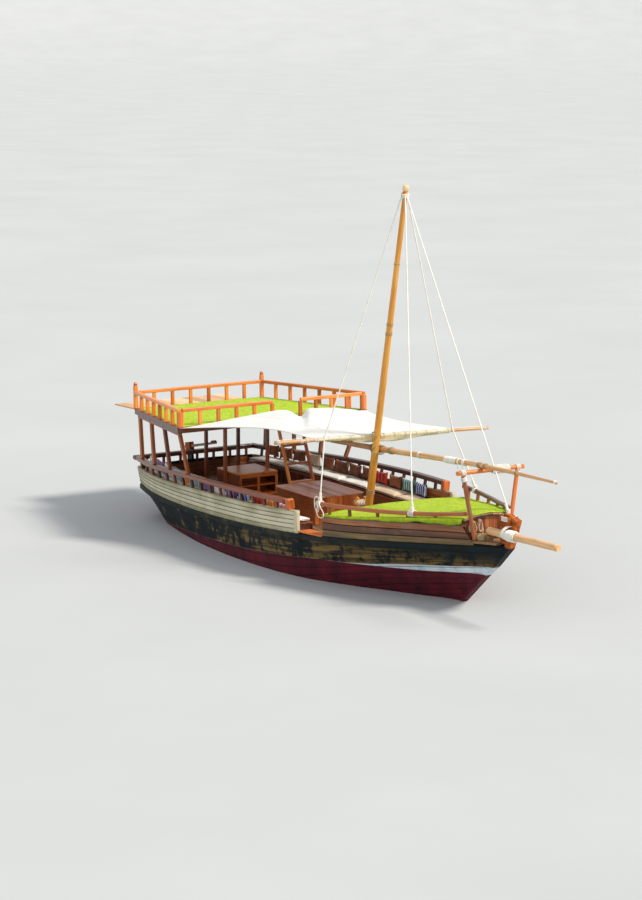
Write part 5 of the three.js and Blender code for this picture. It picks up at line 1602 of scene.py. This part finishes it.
def add_awning():
    sheet = Parts()
    us, vs = np.linspace(0, 1, 91), np.linspace(0, 1, 61)
    seam_and_shade = np.zeros((len(vs), len(us)))
    seam_and_shade[:, ::18] = 1.0
    seam_and_shade[:, [0, -1]] = 0.8
    seam_and_shade[[0, 1, -2, -1], :] = 0.6
    sheet.grid([[awning_point(u, v) for u in us] for v in vs], seam_and_shade=seam_and_shade, tone=0.5)
    piece = sheet.finish("awning_cloth", "awning_cloth", replaces=["awning"], thickness=0.005,
                         weighted=False)
    hem = Parts()
    rows = [[hem_point(u, share) for share in np.linspace(0, 1, 12)] for u in np.linspace(0.02, 0.98, 90)]
    hem.grid(rows, seam_and_shade=[[0.3] * 11 + [1.0]] * 90, tone=0.4)
    flap = hem.finish("awning_hem", "hem_cloth", thickness=0.004, weighted=False)
    lace = Parts()
    for y in np.arange(-1.5, 1.72, 0.245):
        if abs(y) < 0.14:
            continue
        pole, radius = pole_at(y)
        lace.rope(helix(pole + (0.004, -0.02, 0), pole - (0.004, -0.02, 0), radius + 0.014, 2, 14), 0.0055)
    for y, far in ((-1.62, -2.12), (1.77, 2.50)):
        pole, radius = pole_at(y)
        end, _ = pole_at(far)
        lace.rope(helix(end - (0, 0.04, 0), end + (0, 0.04, 0), radius + 0.008, 4, 12), 0.0065)
        lace.rope([pole + (0, 0, radius + 0.012), (pole + end) / 2 + (0, 0, radius + 0.014),
                   end + (0, 0, radius + 0.01)], 0.0065)
    for side in (-1, 1):
        lace.rope([(-1.575, side * 2.43, 2.668), (-1.60, side * 2.425, 2.70),
                   (-1.61, side * 2.40, 2.72)], 0.006)
    lace.finish("awning_lacing", "rope", weighted=False)

# Cushions: one cloth simulation gives the seat pad and one the pillow, and copies lie on the benches

PAD = {"length": 1.13, "width": 0.50, "height": 0.086, "voxel": 0.013, "cap": 0.022}
PILLOW = {"length": 0.46, "width": 0.29, "height": 0.085, "voxel": 0.010, "cap": 0.026}
BLOWING = {"pressure": 4.0, "frames": 20}
CUSHION_FLOOR = DECK_TOP + BENCH["height"] + 0.002
CUSHION_X = (BENCH["x"][0] + 0.03, BENCH["x"][1] - 0.06)
CUSHION_LINE = np.linspace(*CUSHION_X, 60)
CUSHION_WALL = [bulwark_top(x)[0] for x in CUSHION_LINE]
PADS_A_SIDE = 6
PAD_TOP = 0.098
PILLOW_DEPTH = 0.088
PILLOW_MIDDLE = 0.14


def pad_start(size):
    """A flat pad with its sides pulled in a little between the corners."""
    long, wide, high = size["length"], size["width"], size["height"]
    shape = bmesh.new()
    bmesh.ops.create_cube(shape, size=1.0)
    bmesh.ops.subdivide_edges(shape, edges=shape.edges[:], cuts=11, use_grid_fill=True)
    for point in shape.verts:
        x, y, z = (2 * c for c in point.co)
        pull = 1 - 0.035 * (1 - abs(y) ** 3) * abs(x) ** 5
        slim = 1 - 0.07 * (1 - abs(x) ** 3) * abs(y) ** 5
        edge = max(abs(x), abs(y)) ** 8
        point.co = (x * pull * long / 2, y * slim * wide / 2, z * high / 2 * (0.86 - 0.22 * edge))
    mesh = bpy.data.meshes.new("pad")
    shape.to_mesh(mesh)
    shape.free()
    return mesh


def mesh_points(mesh):
    points = np.empty(3 * len(mesh.vertices))
    mesh.vertices.foreach_get("co", points)
    return points.reshape(-1, 3)


def inflated(size):
    """The points and faces of a pad blown up by cloth pressure, no point moving further than the cap."""
    scene = bpy.context.scene
    pad = bpy.data.objects.new("pad", pad_start(size))
    scene.collection.objects.link(pad)
    remesh = pad.modifiers.new("remesh", "REMESH")
    remesh.mode = "VOXEL"
    remesh.voxel_size = size["voxel"]
    view = bpy.context.evaluated_depsgraph_get()
    start = bpy.data.meshes.new_from_object(pad.evaluated_get(view))
    pad.modifiers.clear()
    pad.data = start
    rest = mesh_points(start)
    result = rest
    cloth = pad.modifiers.new("cloth", "CLOTH")
    cloth.settings.use_pressure = True
    cloth.settings.uniform_pressure_force = BLOWING["pressure"]
    cloth.settings.effector_weights.gravity = 0
    cloth.point_cache.frame_start = 1
    cloth.point_cache.frame_end = BLOWING["frames"]
    for frame_number in range(1, BLOWING["frames"] + 1):
        scene.frame_set(frame_number)
    view = bpy.context.evaluated_depsgraph_get()
    blown = mesh_points(bpy.data.meshes.new_from_object(pad.evaluated_get(view)))
    move = blown - rest
    far = np.linalg.norm(move, axis=1, keepdims=True)
    result = rest + move * np.minimum(1, size["cap"] / np.maximum(far, 1e-6))
    scene.frame_set(1)
    faces = [tuple(face.vertices) for face in start.polygons]
    bpy.data.objects.remove(pad)
    return result, faces


def fitted_to(points, size):
    """The points scaled so that they fill the size's box from 0 up."""
    low, high = points.min(0), points.max(0)
    share = (points - (low + high) / 2) / (high - low)
    full = share * (size["length"], size["width"], 2 * size["height"] * 0.58)
    full[:, 2] -= full[:, 2].min()
    return full


PILLOW_CLOTHS = ("white", "pink", "teal", "red", "mauve", "orange", "blue")


def wall_half(xs):
    """The bulwark's half-breadth behind the cushions at each x."""
    return np.interp(xs, CUSHION_LINE, CUSHION_WALL)


def rim_of(shape, size, band, reach):
    """1 at a cushion's edge, where its seam is, and 0 elsewhere."""
    level = np.abs(shape[:, 2] / shape[:, 2].max() - 0.5)
    out = np.maximum(np.abs(shape[:, 0]) / (size["length"] / 2), np.abs(shape[:, 1]) / (size["width"] / 2))
    return (level < band) * (out > reach) * 1.0


def lay_pads(hand, side, seat, faces, drift):
    rim = rim_of(seat, PAD, 0.09, 0.9)
    step = (CUSHION_X[1] - CUSHION_X[0]) / PADS_A_SIDE
    for k in range(PADS_A_SIDE):
        pad = Parts()
        xs = seat[:, 0] + CUSHION_X[0] + step * (k + 0.5)
        ys = side * (wall_half(xs) - 0.373 + seat[:, 1])
        sag = 0.006 * np.sin(5 * xs + k) * np.cos(7 * seat[:, 1]) * (seat[:, 2] > 0.05)
        zs = CUSHION_FLOOR + seat[:, 2] * (PAD_TOP / seat[:, 2].max()) + sag
        pad.add(np.column_stack([xs, ys, zs]), faces, seat + (k, 0, side), tone=drift.random(), seam_and_shade=rim)
        cloth = "cloth_sand" if k > 3 and side > 0 else "cloth_white"
        piece = pad.finish(f"seat_pad_{hand}_{k + 1}", cloth, slot="cushion_cloth", weighted=False,
                           replaces=[f"cushions_{hand}"])


def lay_pillows(hand, side, pillow, faces, drift):
    """Pillows leaning on the bulwark, each with its own lean, turn, tone and cloth."""
    rim = rim_of(pillow, PILLOW, 0.1, 0.88)
    across, up = pillow[:, 0], pillow[:, 1] + PILLOW["width"] / 2 - PILLOW_MIDDLE
    out = pillow[:, 2] * (PILLOW_DEPTH / pillow[:, 2].max())
    x, k = CUSHION_X[0] + 0.26, 0
    while x < CUSHION_X[1] - 0.2:
        back = Parts()
        lean = math.radians(drift.uniform(9, 13))
        turn = drift.uniform(-0.07, 0.07)
        xs = x + across * math.cos(turn) - up * math.sin(turn)
        high = across * math.sin(turn) + up * math.cos(turn) + PILLOW_MIDDLE
        depth = out * math.cos(lean) - high * math.sin(lean) * 0.28
        ys = side * (wall_half(xs) - 0.154 - depth)
        zs = CUSHION_FLOOR + 0.109 + high * math.cos(lean) * 0.985
        back.add(np.column_stack([xs, ys, zs]), faces, pillow + (0, 0, k), tone=drift.random(), seam_and_shade=rim)
        if side > 0 and x < 0.9:
            cloth = {3: "sand", 8: "red"}.get(k, "brown")
        else:
            cloth = PILLOW_CLOTHS[(k * 3 + drift.randrange(2)) % len(PILLOW_CLOTHS)]
        piece = back.finish(f"pillow_{hand}_{k + 1:02d}", f"cloth_{cloth}", slot="cushion_cloth",
                            weighted=False)
        x += drift.uniform(0.50, 0.58)
        k += 1


def add_cushions():
    drift = random.Random(31)
    seat, seat_faces = inflated(PAD)
    pillow, pillow_faces = inflated(PILLOW)
    seat, pillow = fitted_to(seat, PAD), fitted_to(pillow, PILLOW)
    for hand, side in SIDES:
        lay_pads(hand, side, seat, seat_faces, drift)
        lay_pillows(hand, side, pillow, pillow_faces, drift)


# Rope and iron details

YARD_LINE = smooth_line(YARD_POINTS, 90)


def yard_at(x):
    spot = np.array([x] + [float(np.interp(x, YARD_LINE[:, 0], YARD_LINE[:, k])) for k in (1, 2)])
    return spot, float(np.interp(x, [p[0] for p in YARD_POINTS], YARD_RADII))


# Windings round the yard: whether of old rope, where, how long, how many turns and the rope's radius
YARD_WINDINGS = (
    (0, 5.40, 0.44, 20, 0.011), (0, 5.92, 0.05, 3, 0.009), (0, 6.10, 0.10, 5, 0.010),
    (0, 9.50, 0.06, 5, 0.007), (1, 6.70, 0.10, 6, 0.009), (1, 6.94, 0.06, 4, 0.009),
    (0, -0.40, 0.08, 6, 0.008), (1, 3.05, 0.10, 6, 0.009), (1, 2.20, 0.08, 5, 0.009),
    (0, 4.30, 0.05, 4, 0.007), (1, 8.10, 0.05, 4, 0.007),
)
PARREL_MIDDLE = (2.631, 0.072, 2.60)


def add_yard_ropes():
    ropes = (Parts(), Parts())
    for old, x, long, turns, size in YARD_WINDINGS:
        start, radius = yard_at(x)
        ropes[old].rope(helix(start, yard_at(x + long)[0], radius + size * 0.75, turns, 14), size)
    for x, drop in ((5.96, 0.16), (6.14, 0.13)):
        spot, radius = yard_at(x)
        ropes[0].rope([spot - (0, radius, 0), spot - (0.01, radius + 0.012, drop * 0.5),
                       spot - (-0.01, radius, drop)], 0.007)
    ropes[0].finish("yard_lashings", "rope", body="yard", weighted=False)
    ropes[1].finish("yard_lashings_dark", "old_rope", body="yard", weighted=False)


def add_lashings():
    stem = Parts()
    start, end = np.array((7.62, -0.1503, 1.6663)), np.array((7.93, -0.1503, 1.6752))
    for inset, radius, turns in ((0, 0.090, 13), (0.05, 0.106, 8)):
        stem.rope(helix(start + (inset, 0, 0), end - (inset, 0, 0), radius, turns, 18), 0.0135)
    for k in range(4):
        stem.rope(hoop((7.56 + 0.02 * k, -0.075, 1.70), (0, 0.185, 0), (0.03, 0, 0.135), 29), 0.012)
    stem.finish("stem_lashing", "rope", weighted=False)

    coil = Parts()
    for low, high, radius, turns in ((0.02, 0.44, 0.062, 15), (0.08, 0.40, 0.082, 10)):
        coil.rope(helix(GALLOWS_BAR + (0, low, 0), GALLOWS_BAR + (0, high, 0), radius, turns, 16), 0.013)
    for y in (-0.66, 0.66):
        coil.rope(helix(GALLOWS_BAR + (0, y - 0.05, 0), GALLOWS_BAR + (0, y + 0.05, 0), 0.054, 4), 0.010)
        foot = GALLOWS_BAR + (0.005, y * 0.985, -0.085)
        coil.rope(helix(foot, foot + (0.004, -y * 0.03, -0.09), 0.054, 4), 0.010)
    coil.finish("gallows_rope", "rope", weighted=False)

    mast = Parts()
    slant = 0.112 * math.sqrt(0.5)
    for lean in (-1, 1):
        for shift in (-0.018, 0, 0.018):
            middle = np.add(PARREL_MIDDLE, (shift * lean, 0, shift))
            mast.rope(hoop(middle, (0, 0.158, 0), (slant, 0, slant * lean), 33), 0.009)
    pole = pole_at(-0.02)[0] + (0.055, 0, 0)
    for k in (-1.5, -0.5, 0.5, 1.5):
        mast.rope(hoop(pole + (0, 0.02 * k, 0), (0.135, 0.03 * k, 0.03), (0, 0, 0.10), 29), 0.009)
    for z in (1.62, 1.66, 1.70, 5.10, 5.14, 5.30, 5.34, 6.6):
        radius = mast_radius(z) + 0.006
        mast.rope(hoop((mast_x(z), 0, z), (radius, 0, 0), (0, radius, 0), 25), 0.008)
    mast.finish("mast_lashings", "old_rope", weighted=False)

    bitts = Parts()
    bitts.rope(helix(BITTS - (0, 0.14, 0), BITTS + (0, 0.14, 0), 0.066, 7, 16), 0.011)
    bitts.rope(helix((BITTS[0], 0.095, 1.0), (BITTS[0], 0.095, 1.2), 0.066, 6, 16), 0.011)
    bitts.finish("bitts_rope", "rope", weighted=False)


COIL_STEPS = 20


def coiled(inner, diameter, turns_out, layers):
    """Points of a rope laid in flat layers round the origin, each working outwards or back inwards."""
    points = []
    for i in range(turns_out * layers * COIL_STEPS + 1):
        turn = i / COIL_STEPS
        layer = min(int(turn / turns_out), layers - 1)
        share = turn / turns_out - layer
        out = share if layer % 2 == 0 else 1 - share
        radius = inner + out * turns_out * diameter
        angle = TAU * turn
        lift = 0.5 + 0.92 * layer + 0.1 * math.sin(3 * angle) * layer
        if layer < layers - 1:
            lift += max(0.0, share - 0.86) / 0.14 * 0.92
        points.append((radius * math.cos(angle), radius * math.sin(angle), diameter * lift))
    return np.array(points)


def free_rope(name, line, radius, finish, exit_at, **facts):
    """A free rope as a laid tube."""
    rope = Parts()
    rope.rope(line, radius)
    piece = rope.finish(name, finish, weighted=False)
    return piece


def add_loops():
    """The two tails of the aft starboard shroud's lashing."""
    hanging = {"far_end": "object", "stiffness": "limp", "lay": "hanging"}
    ring = hoop((3.278, -1.849, 1.725), (0.088, 0, 0), (0, -0.012, 0.165), 40, math.radians(62),
                math.radians(318))
    free_rope("shroud_loop_aft", ring, 0.011, "rope", (3.319, -1.838, 1.868), **hanging)
    low = smooth_line([(3.378, -1.848, 1.800), (3.412, -1.872, 1.765), (3.50, -1.892, 1.69),
                       (3.59, -1.892, 1.62), (3.62, -1.892, 1.545), (3.55, -1.897, 1.49),
                       (3.44, -1.902, 1.495), (3.37, -1.902, 1.56), (3.362, -1.892, 1.65),
                       (3.362, -1.872, 1.72), (3.352, -1.848, 1.762)], 60)
    free_rope("shroud_loop_low", low, 0.011, "rope", (3.376, -1.837, 1.80), **hanging)


RUDDER_PLACE = Matrix.Translation((-5.215, 0, 0)) @ Matrix.Rotation(-math.atan(0.21), 4, "Y")
# The rudder's irons: each height and how far the strap reaches along the rudder
GUDGEONS = ((-0.93, 0.50), (0.12, 0.50), (0.90, 0.17))


def rivet(parts, x, side, y, z):
    """A rivet's head, standing out from y on one side."""
    parts.spar([(x, side * (y + rise), z) for rise in (0, 0.006, 0.010)], [0.013, 0.012, 0.005], 10)


def add_irons():
    straps, posts = Parts(), Parts()
    for height, reach in GUDGEONS:
        low = height - 0.07
        for side in (-1, 1):
            y = side * 0.0332
            straps.bar((-reach, y, height), (-0.03, y, height), 0.007, 0.055, radius=0.002)
            for share in (0.9, 0.55, 0.22):
                rivet(straps, -reach * share, side, 0.0355, height)
            y = side * 0.0745
            posts.bar((0.05, y, low), (0.27, y, low), 0.006, 0.05, radius=0.002)
            for x in (0.11, 0.21):
                rivet(posts, x, side, 0.077, low)
    straps.finish("rudder_straps", "iron", body="rudder", place=RUDDER_PLACE)
    posts.finish("sternpost_straps", "iron", place=RUDDER_PLACE)
    grip = Parts()
    grip.rope(helix((-4.50, 0, 1.7075), (-4.32, 0, 1.745), 0.034, 9, 12), 0.007)
    grip.finish("tiller_whipping", "old_rope", body="rudder", weighted=False)


# Anchor and its rope on the beak deck

COIL_SPOT = (6.83, -0.235, 1.451)
ANCHOR_RING = (6.86, 0.055, 1.478)
HAWSE = (6.681, -0.090, 1.660)


def add_anchor():
    shackle, anchor = Parts(), Parts()
    x, y, z = ANCHOR_RING
    ring = hoop((x, y + 0.012, z - 0.008), (0, -0.032, 0), (0.030, 0, 0.006), 25)
    shackle.sweep(ring, rounded(0.014, 0.014, 0.005)[0])
    shank = [(x, 0.085, 1.470), (x - 0.005, 0.20, 1.472), (x - 0.01, 0.325, 1.474)]
    stock = [(x - 0.095, 0.115, 1.472), (x, 0.115, 1.474), (x + 0.095, 0.115, 1.472)]
    arms = smooth_line([(6.765, 0.225, 1.468), (6.79, 0.295, 1.472), (6.85, 0.33, 1.474),
                        (6.905, 0.295, 1.472), (6.925, 0.215, 1.468)], 24)
    for line, radii in ((shank, [0.014, 0.016, 0.019]), (stock, [0.010, 0.012, 0.010]),
                        (arms, 0.016 - 0.006 * np.linspace(-1, 1, 25) ** 2)):
        anchor.spar(line, radii, 10, 0.05)
    for tip, way in ((arms[0], arms[0] - arms[2]), (arms[-1], arms[-1] - arms[-3])):
        way = way / np.linalg.norm(way)
        anchor.bar(tip - way * 0.035, tip + way * 0.02, 0.055, 0.009, radius=0.003, taper=0.25)
    anchor.finish("anchor", "iron")
    shackle = shackle.finish("anchor_ring", "iron")

    # From the ring in the bulkhead down to the coil, and from the coil's top to the anchor's ring
    coil = coiled(0.090, 0.022, 2, 5)[:-10] * (-1, -1, 1) + COIL_SPOT
    start = smooth_line([(6.690, -0.090, 1.660), (6.720, -0.090, 1.652), (6.744, -0.098, 1.600),
                         (6.743, -0.130, 1.520), coil[0] + (-0.001, 0.045, 0.004), coil[0]], 40)
    end = smooth_line([coil[-1], coil[-1] + (0.002, 0.05, -0.006), (6.935, -0.10, 1.515),
                       (6.900, -0.02, 1.482), (6.862, 0.042, 1.478)], 24)
    free_rope("anchor_rope", np.vstack([start[:-1], coil, end[1:]]), 0.011, "tan_rope",
              HAWSE, far_end="fitting", stiffness="limp", lay="coiled",
              with_pieces=[shackle])
    boss = Parts()
    x, y, z = HAWSE
    boss.spar([(x - 0.0015, y, z), (x + 0.003, y, z), (x + 0.009, y, z)], [0.034, 0.034, 0.024])
    boss.finish("hawse_ring", "iron")


# Each hank's rope, its middle (y, z), half-width, half-height and turns
HANKS = (("tan", -0.365, 1.705, 0.078, 0.118, 5), ("pink", -0.185, 1.715, 0.060, 0.112, 4))
BULKHEAD_FACE = 6.680


def add_hanks():
    """Spare rope in hanks, hung on pegs from the bow bulkhead."""
    pegs = Parts()
    for name, y, z, wide, tall, turns in HANKS:
        line = []
        for t in np.linspace(0.0, turns, 26 * turns):
            a = TAU * t
            narrow = 0.45 + 0.275 * (1 - math.cos(a))
            line.append((6.705 + 0.0235 * t, y + wide * narrow * math.sin(a),
                         z + tall * math.cos(a) * (1 + 0.06 * math.sin(2.3 * t))))
        free_rope(f"{name}_hank", line, 0.0105, f"{name}_rope", (BULKHEAD_FACE + 0.001, y, z + tall),
                  far_end="object", stiffness="limp", lay="hanging")
        top = z + tall * 0.94 - 0.026
        pegs.spar([(BULKHEAD_FACE, y, top), (6.76, y, top), (6.835, y, top + 0.012)],
                  [0.013, 0.012, 0.010], 12)
    pegs.finish("hank_pegs", "orange_wood")


def add_base_finishes():
    """Materials for the frame's own solids that stay as they are."""
    kept = {
        "iron": ["engine"],
        "stem_paint": ["stem"],
        "post_paint": ["keel", "sternpost", "rudder"],
        "varnished_x": ["tiller"],
        "deck_x": ["beak_deck"],
        "bronze": ["propeller"],
    }
    for finish, names in kept.items():
        for name in names:
            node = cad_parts[name]
            node.data.materials.clear()
            node.data.materials.append(FINISHES[finish])


def add_floor():
    """A flat floor whose far rim curves up all round, so that it fills the view."""
    around = 96
    points = [(r * math.cos(TAU * k / around), r * math.sin(TAU * k / around), z)
              for r, z in FLOOR[1:] for k in range(around)]
    faces = [tuple(range(around))]
    for ring in range(len(FLOOR) - 2):
        for k in range(around):
            a, b = ring * around + k, ring * around + (k + 1) % around
            faces.append((a, a + around, b + around, b))
    mesh = bpy.data.meshes.new("floor")
    mesh.from_pydata(points, [], faces)
    mesh.polygons.foreach_set("use_smooth", [True] * len(faces))
    mesh.materials.append(floor_finish())
    piece = bpy.data.objects.new("floor", mesh)
    bpy.context.scene.collection.objects.link(piece)


add_camera()
add_light()
add_floor()
add_hull_skin()
add_bulwarks()
add_wales()
add_linings()
add_transom()
add_side_rails()
add_upper_deck()
add_upper_rails()
add_posts()
add_ladder()
add_casing()
add_counter()
add_benches()
add_mast()
add_spars()
add_decks()
turf_drift = np.random.default_rng(21)
add_upper_turf(turf_drift)
add_foredeck_turf(turf_drift)
add_gates()
add_stays()
add_awning()
add_cushions()
add_yard_ropes()
add_lashings()
add_loops()
add_irons()
add_anchor()
add_hanks()
add_base_finishes()

bpy.context.view_layer.update()
